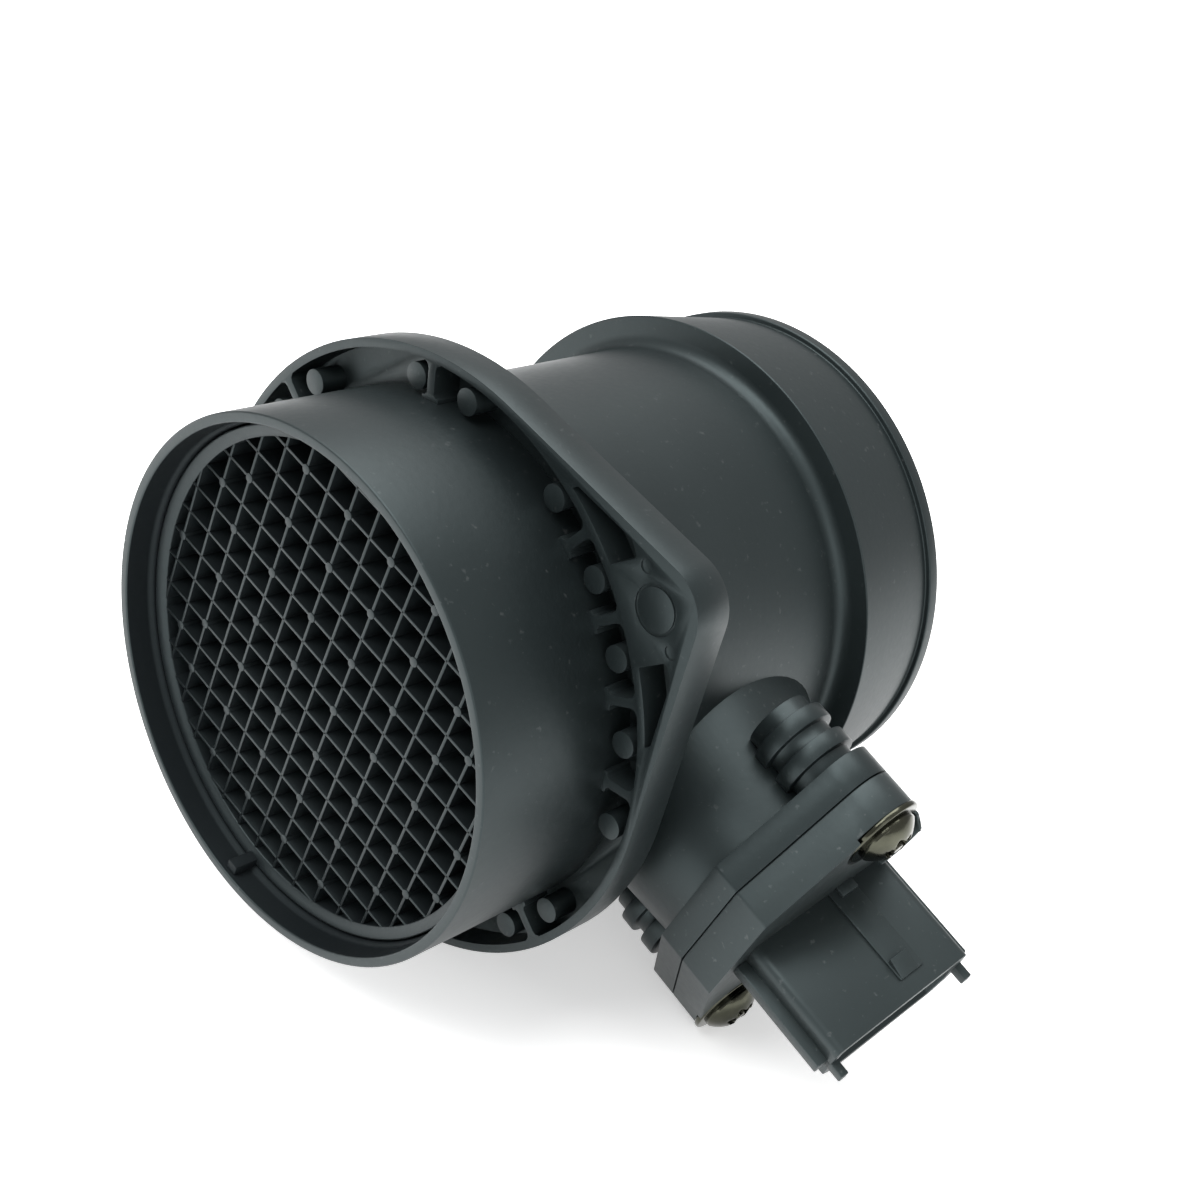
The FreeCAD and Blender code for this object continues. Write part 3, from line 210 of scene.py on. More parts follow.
def lathe(name: str, profile: Sequence[Point], segments: int, closed: bool = False) -> Piece:
    """Turn a profile about local +Z by extruding and scaling one circle.

    Args:
        name: The piece's name.
        profile: (radius, level) points in order.
        segments: Sides of the circle.
        closed: True where the profile runs round and meets its start, as a tube's does.

    Returns:
        The turned piece.
    """
    deselect_all()
    radius, level = profile[0]
    bpy.ops.mesh.primitive_circle_add(vertices=segments, radius=radius, location=(0, 0, level),
                                      fill_type="NOTHING" if closed else "NGON")
    piece = bpy.context.object
    piece.name = name
    bpy.ops.object.transform_apply(location=True, rotation=False, scale=False)
    bpy.ops.object.mode_set(mode="EDIT")
    bpy.ops.mesh.select_all(action="SELECT")
    steps = list(profile[1:]) + ([profile[0]] if closed else [])
    for new_radius, new_level in steps:
        lift = {"value": (0, 0, new_level - level)}
        if closed:
            bpy.ops.mesh.extrude_edges_move(TRANSFORM_OT_translate=lift)
        else:
            bpy.ops.mesh.extrude_region_move(TRANSFORM_OT_translate=lift)
        ratio = new_radius / radius
        bpy.ops.transform.resize(value=(ratio, ratio, 1), center_override=(0, 0, new_level))
        radius, level = new_radius, new_level
    bpy.ops.mesh.select_all(action="SELECT")
    bpy.ops.mesh.remove_doubles(threshold=0.0005)
    bpy.ops.mesh.normals_make_consistent(inside=False)
    bpy.ops.object.mode_set(mode="OBJECT")
    return piece


def prism(name: str, outline: Sequence[Point], low: float, high: float) -> Piece:
    """Raise an outline along local +Z.

    Args:
        name: The piece's name.
        outline: (x, y) corners in order.
        low: Level of the base.
        high: Level of the top.

    Returns:
        The closed prism.
    """
    deselect_all()
    bpy.ops.mesh.primitive_circle_add(vertices=len(outline), radius=1.0, fill_type="NGON")
    piece = bpy.context.object
    piece.name = name
    for vertex, (x, y) in zip(piece.data.vertices, outline):
        vertex.co = (x, y, low)
    bpy.ops.object.mode_set(mode="EDIT")
    bpy.ops.mesh.select_all(action="SELECT")
    bpy.ops.mesh.extrude_region_move(TRANSFORM_OT_translate={"value": (0, 0, high - low)})
    bpy.ops.mesh.select_all(action="SELECT")
    bpy.ops.mesh.normals_make_consistent(inside=False)
    bpy.ops.object.mode_set(mode="OBJECT")
    return piece


def turned(piece: Piece, degrees: float, shift: Triple = (0, 0, 0)) -> Piece:
    """Turn a piece about local +Z, then shift it."""
    piece.data.transform(Matrix.Translation(shift) @ Matrix.Rotation(math.radians(degrees), 4, "Z"))
    return piece


def copied(piece: Piece, name: str) -> Piece:
    """Copy a piece with a mesh of its own.

    Args:
        piece: The piece to copy.
        name: The copy's name.

    Returns:
        The copy.
    """
    take(piece)
    bpy.ops.object.duplicate(linked=False)
    twin = bpy.context.object
    twin.name = name
    return twin


def rounded(corners: Sequence[Point], radius: float, steps: int = 6) -> Outline:
    """Round the corners of a closed outline.

    Args:
        corners: (x, y) corners in order.
        radius: Radius of every corner.
        steps: Points on each corner, less one.

    Returns:
        The outline with an arc at each corner.
    """
    result: Outline = []
    count = len(corners)
    for index in range(count):
        here = Vector(corners[index])
        back = (Vector(corners[index - 1]) - here).normalized()
        ahead = (Vector(corners[(index + 1) % count]) - here).normalized()
        half = back.angle(ahead) / 2
        reach = radius / math.tan(half)
        middle = here + (back + ahead).normalized() * (radius / math.sin(half))
        start, end = here + back * reach - middle, here + ahead * reach - middle
        sweep = start.angle_signed(end)
        for step in range(steps + 1):
            result.append(tuple(middle + Matrix.Rotation(-sweep * step / steps, 2) @ start))
    return result


def box_outline(half_x: float, half_y: float, x: float = 0.0, y: float = 0.0) -> Outline:
    """Return the corners of a rectangle about a point."""
    return [(x - half_x, y - half_y), (x + half_x, y - half_y), (x + half_x, y + half_y),
            (x - half_x, y + half_y)]


def circle_outline(radius: float, count: int, x: float = 0.0, y: float = 0.0) -> Outline:
    """Return points round a circle about a point."""
    turns = (2 * math.pi * index / count for index in range(count))
    return [(x + radius * math.cos(turn), y + radius * math.sin(turn)) for turn in turns]


def arc(centre: Point, radius: float, start: float, end: float, steps: int) -> Outline:
    """Return points along an arc, by its start and end angles in degrees."""
    angles = (math.radians(start + (end - start) * index / steps) for index in range(steps + 1))
    return [(centre[0] + radius * math.cos(angle),
             centre[1] + radius * math.sin(angle)) for angle in angles]


@dataclass(frozen=True)
class Finish:
    """A moulded, metal or rubber finish with grain, mottling and varying tone."""

    name: str
    colour: Triple
    second: Triple
    roughness: Point
    metallic: float = 0.0
    specular: float = 0.5
    tint: Triple = (1.0, 1.0, 1.0)
    grain: float = 900.0
    grain_depth: float = 0.02
    cloud: float = 28.0
    coat: float = 0.0
    dust: float = 0.0

    def build(self) -> bpy.types.Material:
        """Return the finish as a node material.

        Returns:
            The material, made once for each finish.
        """
        known = bpy.data.materials.get(self.name)
        if known is not None:
            return known
        material = bpy.data.materials.new(self.name)
        material.use_nodes = True
        tree = material.node_tree
        shader = tree.nodes["Principled BSDF"]
        shader.inputs["Metallic"].default_value = self.metallic
        shader.inputs["Specular IOR Level"].default_value = self.specular
        shader.inputs["Specular Tint"].default_value = (*self.tint, 1)
        shader.inputs["Coat Weight"].default_value = self.coat
        place = tree.nodes.new("ShaderNodeTexCoord")
        cloud = self.noise(tree, place, self.cloud, CLOUD_DETAIL)
        tones = tree.nodes.new("ShaderNodeValToRGB")
        stops = zip(tones.color_ramp.elements, TONE_ENDS, (self.colour, self.second))
        for stop, position, tone in stops:
            stop.position, stop.color = position, (*tone, 1)
        tree.links.new(cloud.outputs["Fac"], tones.inputs["Fac"])
        tree.links.new(self.dusted(tree, place, tones.outputs["Color"]),
                       shader.inputs["Base Color"])
        grain = self.noise(tree, place, self.grain, GRAIN_DETAIL)
        gloss = tree.nodes.new("ShaderNodeMapRange")
        gloss.inputs["To Min"].default_value, gloss.inputs["To Max"].default_value = self.roughness
        tree.links.new(self.mixed(tree, cloud, grain), gloss.inputs["Value"])
        tree.links.new(gloss.outputs["Result"], shader.inputs["Roughness"])
        bump = tree.nodes.new("ShaderNodeBump")
        bump.inputs["Strength"].default_value = 1.0
        bump.inputs["Distance"].default_value = self.grain_depth * MM
        tree.links.new(grain.outputs["Fac"], bump.inputs["Height"])
        tree.links.new(bump.outputs["Normal"], shader.inputs["Normal"])
        return material

    def dusted(self, tree: Tree, place: bpy.types.Node,
               colour: Socket) -> Socket:
        """Lay sparse pale specks of dust and wear over a colour.

        Args:
            tree: The material's node tree.
            place: The texture coordinates.
            colour: The colour below the dust.

        Returns:
            The colour with its specks.
        """
        if not self.dust:
            return colour
        specks = self.noise(tree, place, DUST_SCALE, DUST_DETAIL)
        amount = tree.nodes.new("ShaderNodeMapRange")
        for end, value in zip(("From Min", "From Max"), DUST_RANGE):
            amount.inputs[end].default_value = value
        amount.inputs["To Max"].default_value = self.dust
        tree.links.new(specks.outputs["Fac"], amount.inputs["Value"])
        laid = tree.nodes.new("ShaderNodeMix")
        laid.data_type = "RGBA"
        laid.inputs[MIX_ABOVE].default_value = DUST_COLOUR
        tree.links.new(amount.outputs["Result"], laid.inputs[MIX_FACTOR])
        tree.links.new(colour, laid.inputs[MIX_BELOW])
        return laid.outputs[MIX_RESULT]

    @staticmethod
    def noise(tree: Tree, place: bpy.types.Node, scale: float, detail: float) -> bpy.types.Node:
        """Add a noise texture on the piece's own coordinates.

        Args:
            tree: The material's node tree.
            place: The texture coordinates.
            scale: Waves of noise in a metre.
            detail: Octaves of the noise.

        Returns:
            The noise node.
        """
        node = tree.nodes.new("ShaderNodeTexNoise")
        node.inputs["Scale"].default_value = scale
        node.inputs["Detail"].default_value = detail
        tree.links.new(place.outputs["Object"], node.inputs["Vector"])
        return node

    @staticmethod
    def mixed(tree: Tree, first: bpy.types.Node, second: bpy.types.Node) -> Socket:
        """Average two noises.

        Args:
            tree: The material's node tree.
            first: The first noise.
            second: The second noise.

        Returns:
            The socket with the average.
        """
        node = tree.nodes.new("ShaderNodeMix")
        node.inputs["Factor"].default_value = 0.5
        tree.links.new(first.outputs["Fac"], node.inputs["A"])
        tree.links.new(second.outputs["Fac"], node.inputs["B"])
        return node.outputs["Result"]


COOL: Triple = (0.80, 0.98, 1.0)
DUCT_BLACK = Finish("duct_black", (0.0060, 0.0084, 0.0090), (0.0105, 0.0140, 0.0146), (0.34, 0.50),
                    specular=0.44,
                    tint=COOL, dust=0.13)
# Painted shade: a darker, duller black for the faces inside the inlet recess, where shade falls.
RECESS_PAINTED_SHADE = Finish("recess_painted_shade", (0.0050, 0.0064, 0.0075), (0.0064, 0.0080, 0.0092),
                      (0.5, 0.65), specular=0.2,
                      tint=COOL)
GRID_BLACK = Finish("grid_black", (0.0055, 0.0072, 0.0082), (0.0078, 0.0100, 0.0110), (0.34, 0.48),
                    specular=0.38,
                    tint=COOL)
SENSOR_BLACK = Finish("sensor_black", (0.0100, 0.0130, 0.0135), (0.0200, 0.0250, 0.0256),
                      (0.38, 0.55), specular=0.5,
                      tint=COOL, dust=0.20)
SEAL_BLACK = Finish("seal_black", (0.012, 0.012, 0.012), (0.018, 0.018, 0.018), (0.6, 0.75),
                    specular=0.3)
BRONZE_STEEL = Finish("bronze_steel", (0.034, 0.035, 0.026), (0.088, 0.089, 0.067), (0.10, 0.26),
                      metallic=1.0,
                      grain=1400.0, grain_depth=0.012, cloud=160.0)
BRASS = Finish("turned_brass", (0.60, 0.43, 0.18), (0.70, 0.52, 0.25), (0.22, 0.38), metallic=1.0,
               cloud=120.0)
ALUMINIUM = Finish("plain_aluminium", (0.62, 0.63, 0.65), (0.72, 0.73, 0.75), (0.3, 0.45),
                   metallic=1.0, cloud=90.0)
BOARD_GREEN = Finish("board_lacquer", (0.012, 0.07, 0.03), (0.02, 0.10, 0.045), (0.2, 0.32),
                     coat=0.4, cloud=200.0)
CHIP_GREY = Finish("chip_grey", (0.05, 0.055, 0.07), (0.08, 0.085, 0.10), (0.15, 0.3), cloud=300.0)
BEAD_BLACK = Finish("bead_black", (0.014, 0.014, 0.016), (0.022, 0.022, 0.024), (0.14, 0.28),
                    coat=0.5, cloud=400.0)
COVER_BLACK = Finish("cover_black", (0.012, 0.0125, 0.0135), (0.018, 0.0185, 0.0195), (0.42, 0.58))


def dress(piece: Piece, finish: Finish, nodes: Sequence[str]) -> None:
    """Give a new piece its finish, hang it under the root, and hide the CAD nodes that it replaces.

    Args:
        piece: The finished piece.
        finish: Its finish.
        nodes: The CAD nodes that it replaces.
    """
    piece.data.materials.clear()
    piece.data.materials.append(finish.build())
    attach(piece, "root")
    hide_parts(*nodes)
    LOG.info("%s: %d faces", piece.name, len(piece.data.polygons))


@dataclass
class Duct:
    """The turned part of the duct: inlet spigot, middle, stepped outlet spigot and bead."""

    segments: int = 256
    inlet_radius: float = 42.5
    rim_bore: float = 40.3
    rim_front: float = 40.85
    rim_step: Point = (4.0, 4.6)
    bore: float = 38.0
    grid_seat: float = 13.3
    middle_radius: float = 41.0
    web_back: float = 29.6
    shoulder: float = 83.3
    shoulder_radius: float = 46.4
    foot_radius: float = 2.4
    spigot_radius: float = 43.5
    bead_front: float = 105.2
    bead_radius: float = 44.5
    length: float = 107.7
    outlet_bore: float = 40.2
    widening: Point = (80.0, 85.0)
    edge_round: float = 0.3
    key_turn: float = 140.0
    key_width: float = 2.2
    key_height: float = 1.3
    key_setback: float = 0.8

    def profile(self) -> Outline:
        """Return the closed section of the tube as (radius, distance from the inlet face).

        Returns:
            The section's corners, in order.
        """
        foot = arc((self.middle_radius + self.foot_radius, self.shoulder - self.foot_radius),
                   self.foot_radius,
                   180.0, 90.0, 6)
        return [(self.inlet_radius, 0.0), (self.inlet_radius, self.web_back),
                (self.middle_radius, self.web_back),
                *foot, (self.shoulder_radius, self.shoulder), (self.spigot_radius, self.bead_front),
                (self.bead_radius, self.bead_front), (self.bead_radius, self.length),
                (self.outlet_bore, self.length), (self.outlet_bore, self.widening[1]),
                (self.bore, self.widening[0]),
                (self.bore, self.grid_seat), (self.rim_bore, self.grid_seat),
                (self.rim_bore, self.rim_step[1]),
                (self.rim_front, self.rim_step[0]), (self.rim_front, 0.0)]

    def key(self) -> Piece:
        """Model the rib that keys the lattice, in the inlet recess.

        Returns:
            The piece, in its local frame.
        """
        low, high = self.rim_bore - self.key_height, (self.rim_bore + self.inlet_radius) / 2
        outline = box_outline(self.key_width / 2, (high - low) / 2, 0.0, (low + high) / 2)
        rib = prism("lattice_key", outline, self.key_setback, self.grid_seat + 0.5)
        round_edges(rib, 0.25)
        return turned(rib, self.key_turn)

    def build(self) -> Piece:
        """Model the tube, with painted shade on the faces inside the inlet recess.

        Returns:
            The finished piece, in the model's frame.
        """
        tube = lathe("duct_tube", self.profile(), self.segments, closed=True)
        round_edges(tube, self.edge_round, segments=4, angle=25.0)
        piece = finish_shape(merge([tube, self.key()], "duct_tube"), Axis.DUCT)
        dress(piece, DUCT_BLACK, ["duct_housing"])
        # Painted shade: faces inside the inlet recess, in front of the lattice seat, take the second,
        # darker finish.
        piece.data.materials.append(RECESS_PAINTED_SHADE.build())
        for face in piece.data.polygons:
            reach = math.hypot(face.center.y, face.center.z) / MM
            if face.center.x / MM < self.grid_seat - FLANGE_X and reach < self.rim_front + 0.02:
                face.material_index = 1
        return piece


@dataclass
class Flange:
    """The ribbed flange: rim wall, web, two windowed ears, ribs with feet and ejector posts."""

    front: float = 24.0
    thickness: float = 6.6
    radius: float = 49.8
    sides: int = 256
    wall: float = 1.4
    root_radius: float = 41.6
    spigot_radius: float = 42.5
    pocket: float = 5.0
    ear_pitch: float = 55.4
    ear_radius: float = 7.5
    ear_wall: float = 1.6
    window_gap: float = 7.4
    window_top: float = 54.6
    window_end: float = 18.8
    window_corner: float = 0.6
    rib_turns: tuple[float, ...] = (-59.0, -15.0, 0.0, 15.0, 32.5, 78.0)
    post_turns: tuple[float, ...] = (-63.6, -49.7, -23.6, -7.3, 7.3, 23.6, 41.5, 71.0, 85.0)
    rib_thickness: float = 1.5
    rib_flare: float = 1.1
    rib_sink: float = 0.6
    foot: Point = (3.4, 0.6)
    post_radius: float = 2.05
    post_pitch: float = 45.3
    post_drop: float = 0.4
    disc_radius: float = 3.3
    groove: float = 0.5
    mark_depth: float = 0.3
    dot: Triple = (1.1, 6.1, 56.0)
    insert_radius: float = 3.2
    insert_length: float = 5.0
    edge_round: float = 0.22

    def lean(self) -> float:
        """Return the degrees between an ear's axis and the normal of its straight side."""
        return math.degrees(math.acos((self.radius - self.ear_radius) / self.ear_pitch))

    def outline(self) -> Outline:
        """Return the outline of the flange with both ears.

        Returns:
            The outline, in order.
        """
        side = 90.0 - self.lean()
        tip = arc((0.0, self.ear_pitch), self.ear_radius, side, 180.0 - side, 24)
        first = arc((0.0, 0.0), self.radius, -side, side, 96)
        second = arc((0.0, 0.0), self.radius, 180.0 - side, 180.0 + side, 96)
        low_tip = arc((0.0, -self.ear_pitch), self.ear_radius, 180.0 + side, 360.0 - side, 24)
        return first + tip + second + low_tip

    def windows(self) -> list[Outline]:
        """Return the outlines of the pockets beside both ears.

        Returns:
            One outline for each pocket.
        """
        lean = math.radians(self.lean())
        inner = self.radius - 4 * self.wall
        limit = self.radius - self.ear_wall
        end, top = self.window_end, self.window_top
        corners = [(self.window_gap, inner), (end, inner),
                   (end, (limit - end * math.sin(lean)) / math.cos(lean)),
                   ((limit - top * math.cos(lean)) / math.sin(lean), top), (self.window_gap, top)]
        shapes = []
        for mirror in (1, -1):
            for ear in (1, -1):
                shapes.append([(mirror * x, ear * y) for x, y in corners][::mirror * ear])
        return shapes

    def rib(self) -> Piece:
        """Model one rib with its foot, on the local +Y axis.

        Returns:
            The piece, in its local frame.
        """
        half, foot = self.rib_thickness / 2, self.foot[0] / 2
        root, knee = self.spigot_radius - self.rib_sink, self.spigot_radius + self.foot[1]
        top, flare = self.radius - 0.5 * self.wall, self.rib_flare
        neck = self.radius - self.wall - flare
        corners = [(-foot, root), (foot, root), (foot, knee), (half + 0.35, knee + 0.12),
                   (half, knee + 0.6),
                   (half, neck), (half + 0.25, neck + 0.65), (half + flare, neck + flare),
                   (half + flare, top),
                   (-half - flare, top), (-half - flare, neck + flare), (-half - 0.25, neck + 0.65),
                   (-half, neck),
                   (-half, knee + 0.6), (-half - 0.35, knee + 0.12), (-foot, knee)]
        return prism("rib", corners, self.front + 0.02, self.front + self.pocket + self.rib_sink)

    def build(self) -> Piece:
        """Model the flange.

        Returns:
            The finished piece, in the model's frame.
        """
        back = self.front + self.thickness
        plate = prism("flange", self.outline(), self.front, back)
        bottom = self.front + self.pocket
        well = prism("well", circle_outline(self.radius - self.wall, self.sides), self.front - OVER,
                     bottom)
        cut(plate, well)
        for window in self.windows():
            cut(plate, prism("window", rounded(window, self.window_corner, 4), self.front - OVER,
                             bottom))
        rim = prism("rim", circle_outline(self.radius - 0.01, self.sides), self.front, back)
        hollow = prism("hollow", circle_outline(self.radius - self.wall, self.sides),
                       self.front - OVER, back + OVER)
        cut(rim, hollow)
        join(plate, rim)
        rib = self.rib()
        for half_turn in (0.0, 180.0):
            for turn in self.rib_turns:
                join(plate, turned(copied(rib, "rib_copy"), turn + half_turn))
            for turn in self.post_turns:
                post = prism("post", circle_outline(self.post_radius, 32, 0.0, self.post_pitch),
                             self.front + self.post_drop, bottom + self.rib_sink)
                join(plate, turned(post, turn + half_turn))
        bpy.data.objects.remove(rib)
        eye = prism("eye", circle_outline(self.root_radius, self.sides), self.front - 2 * OVER,
                    back + 2 * OVER)
        cut(plate, eye)
        self.mark_ears(plate, back)
        round_edges(plate, self.edge_round, angle=35.0)
        piece = finish_shape(plate, Axis.DUCT)
        dress(piece, DUCT_BLACK, ["duct_housing"])
        return piece

    def mark_ears(self, plate: Piece, back: float) -> None:
        """Cut the disc mark, the two dots and the insert hole in each ear.

        Args:
            plate: The flange's plate.
            back: The level of its rear face.
        """
        radius, offset, pitch = self.dot
        for ear in (1, -1):
            ring = prism("ring",
                         circle_outline(self.disc_radius + self.groove, 48, 0.0,
                                        ear * self.ear_pitch),
                         self.front - OVER, self.front + self.mark_depth)
            core = prism("core", circle_outline(self.disc_radius, 48, 0.0, ear * self.ear_pitch),
                         self.front - 2 * OVER, self.front + 2 * OVER)
            cut(ring, core)
            cut(plate, ring)
            for side in (1, -1):
                spot = prism("spot", circle_outline(radius, 24, side * offset, ear * pitch),
                             self.front - OVER,
                             self.front + self.mark_depth)
                cut(plate, spot)
            hole = prism("hole", circle_outline(self.insert_radius, 48, 0.0, ear * self.ear_pitch),
                         back - self.insert_length, back + OVER)
            cut(plate, hole)


SCREWS: tuple[Point, Point] = ((2.2, 23.0), (-2.2, -23.0))


def sensor_flange(inset: float = 0.0) -> Outline:
    """Return the outline of both sensor flanges, with a round end about each screw.

    Args:
        inset: How far the outline is moved inwards.

    Returns:
        The convex outline, in order.
    """
    end_radius, corner, half_x, half_y = 6.4, 1.2, 16.7, 9.0
    points: Outline = []
    for x, y in SCREWS:
        points += circle_outline(end_radius - inset, 96, x, y)
    for x in (corner - half_x, half_x - corner):
        for y in (-half_y, half_y):
            points += circle_outline(corner - inset, 48, x, y)
    return [points[index] for index in geometry.convex_hull_2d(points)]


@dataclass
class SensorSeat:
    """The oval turret on the duct, its flange, and the ringed columns under the screws."""

    boss_level: float = 56.8
    joint_level: float = 62.1
    base_level: float = 25.0
    base_shift: float = 9.0
    base_half: Triple = (28.9, 22.6, 20.4)
    column_inset: Point = (1.2, 2.4)
    top_half: Point = (16.6, 18.6)
    opening_half: Point = (15.4, 7.9)
    opening_corner: float = 5.0
    wall_radius: float = 39.6
    column_radius: float = 5.4
    column_foot: float = 44.0
    ring_radius: float = 6.6
    ring_height: float = 2.9
    ring_pitch: float = 5.1
    column_round: float = 0.25
    overlap: float = 0.8
    opening_floor: float = 10.0
    pilot_radius: float = 2.4
    edge_round: float = 0.3
    parting: Point = (0.7, 0.3)

    def turret(self) -> Piece:
        """Model the oval turret as a stack of ellipses, trimmed inside the duct wall.

        Returns:
            The piece, in its local frame.
        """
        count = 128
        base = [(self.base_shift + self.base_half[0] * math.cos(t),
                 self.base_half[1 if math.sin(t) < 0 else 2] * math.sin(t))
                for t in (2 * math.pi * i / count for i in range(count))]
        piece = prism("turret", base, self.base_level, self.boss_level + self.overlap)
        top = [(self.top_half[0] * math.cos(t), self.top_half[1] * math.sin(t))
               for t in (2 * math.pi * i / count for i in range(count))]
        high = [vertex for vertex in piece.data.vertices if vertex.co.z > self.boss_level]
        for vertex in high:
            nearest = min(range(count), key=lambda i: (Vector(base[i]) - vertex.co.xy).length)
            vertex.co.xy = top[nearest]
        cut(piece, self.wall())
        return piece

    def wall(self) -> Piece:
        """Model the cylinder that trims the seat inside the duct wall.

        Returns:
            The piece, in its local frame.
        """
        drum = prism("drum", circle_outline(self.wall_radius, 192), -60.0, 60.0)
        drum.data.transform(Matrix.Rotation(math.pi / 2, 4, "Y"))
        return drum

    def opening(self, low: float) -> Piece:
        """Model the tool that opens the seat from a level upwards."""
        outline = rounded(box_outline(*self.opening_half), self.opening_corner)
        return prism("opening", outline, low, self.joint_level + OVER)

    def column(self) -> Piece:
        """Model one screw column with its two ring ribs.

        Returns:
            The piece, in its local frame.
        """
        points: Outline = [(self.column_radius, self.column_foot)]
        for ring in (2, 1):
            floor = self.boss_level - ring * self.ring_pitch
            points += [(self.column_radius, floor), (self.ring_radius, floor),
                       (self.ring_radius, floor + self.ring_height),
                       (self.column_radius, floor + self.ring_height)]
        points.append((self.column_radius, self.boss_level + self.overlap))
        piece = lathe("column", points, 64)
        round_edges(piece, self.column_round)
        return piece

    def build(self) -> Piece:
        """Model the seat.

        Returns:
            The finished piece, in the model's frame.
        """
        plate = prism("boss_flange", sensor_flange(), self.boss_level,
                      self.joint_level - self.parting[1])
        cut(plate, self.opening(self.boss_level - 2 * OVER))
        for x, y in SCREWS:
            cut(plate, prism("pilot", circle_outline(self.pilot_radius, 32, x, y),
                             self.boss_level - OVER,
                             self.joint_level + OVER))
        round_edges(plate, self.edge_round)
        step = prism("parting_step", sensor_flange(self.parting[0]),
                     self.joint_level - 2 * self.parting[1],
                     self.joint_level)
        cut(step, self.opening(self.boss_level))
        turret = self.turret()
        cut(turret, self.opening(self.opening_floor))
        parts = [plate, step, turret]
        column = self.column()
        for index, (x, y) in enumerate(SCREWS):
            stack = copied(column, "column_%d" % index)
            stack.data.transform(Matrix.Translation((x,
                                                     y - math.copysign(self.column_inset[index], y),
                                                     0)))
            parts.append(stack)
        bpy.data.objects.remove(column)
        piece = finish_shape(merge(parts, "sensor_seat"), Axis.SENSOR)
        dress(piece, DUCT_BLACK, ["duct_housing"])
        return piece


@dataclass
class InletLattice:
    """The lattice in the inlet: a bevelled ring, two sets of thin strips and ejector pins."""

    front: float = 4.8
    back: float = 13.3
    outer: float = 40.0
    inner: float = 38.0
    bevel: float = 0.7
    pitch: float = 5.06
    shift: float = 0.3
    strip: float = 0.55
    turn: float = -129.2
    pin_radius: float = 0.8
    rim_pins: tuple[tuple[int, int], ...] = ((-3, 6), (-3, -6), (3, -6), (3, 6))

    def ring(self) -> Piece:
        """Model the ring.

        Returns:
            The piece, in its local frame.
        """
        piece = lathe("grid_ring",
                      [(self.outer, self.front), (self.outer, self.back), (self.inner, self.back),
                                    (self.inner, self.front + self.bevel),
                       (self.outer - 0.3, self.front)], 192,
                      closed=True)
        round_edges(piece, 0.15, angle=25.0)
        return piece

    def strips(self) -> list[Piece]:
        """Model both sets of strips.

        Returns:
            The strips, in the lattice's own directions.
        """
        level = self.front + self.bevel
        pieces = []
        last = int((self.inner - 1) / self.pitch)
        for upright, shift in ((False, self.shift), (True, 0.0)):
            for index in range(-last, last + 1):
                middle = shift + index * self.pitch
                half = math.sqrt((self.inner + 1.0) ** 2 - middle ** 2)
                outline = box_outline(half, self.strip / 2, 0.0, middle)
                if upright:
                    outline = [(y, x) for x, y in outline][::-1]
                piece = prism("strip", outline, level, self.back - 0.01)
                round_edges(piece, 0.14, angle=60.0)
                pieces.append(piece)
        return pieces

    def pins(self) -> list[Piece]:
        """Model the ejector pins at every second crossing, and those near the rim.

        Returns:
            The pins.
        """
        places = [(2 * column, 2 * row + 1) for column in range(-3, 4) for row in range(-4, 4)]
        pieces = []
        for column, row in places + list(self.rim_pins):
            x, y = column * self.pitch, self.shift + row * self.pitch
            if math.hypot(x, y) < self.inner - 1.5 * self.pin_radius:
                piece = prism("pin", circle_outline(self.pin_radius, 20, x, y),
                              self.front + self.bevel - 0.12,
                              self.back - 0.02)
                round_edges(piece, 0.12, angle=60.0)
                pieces.append(piece)
        return pieces

    def build(self) -> Piece:
        """Model the lattice.

        Returns:
            The finished piece, in the model's frame.
        """
        web = merge(self.strips() + self.pins(), "grid_web")
        turned(web, self.turn)
        piece = finish_shape(merge([self.ring(), web], "inlet_lattice"), Axis.DUCT)
        dress(piece, GRID_BLACK, ["inlet_grid"])
        return piece


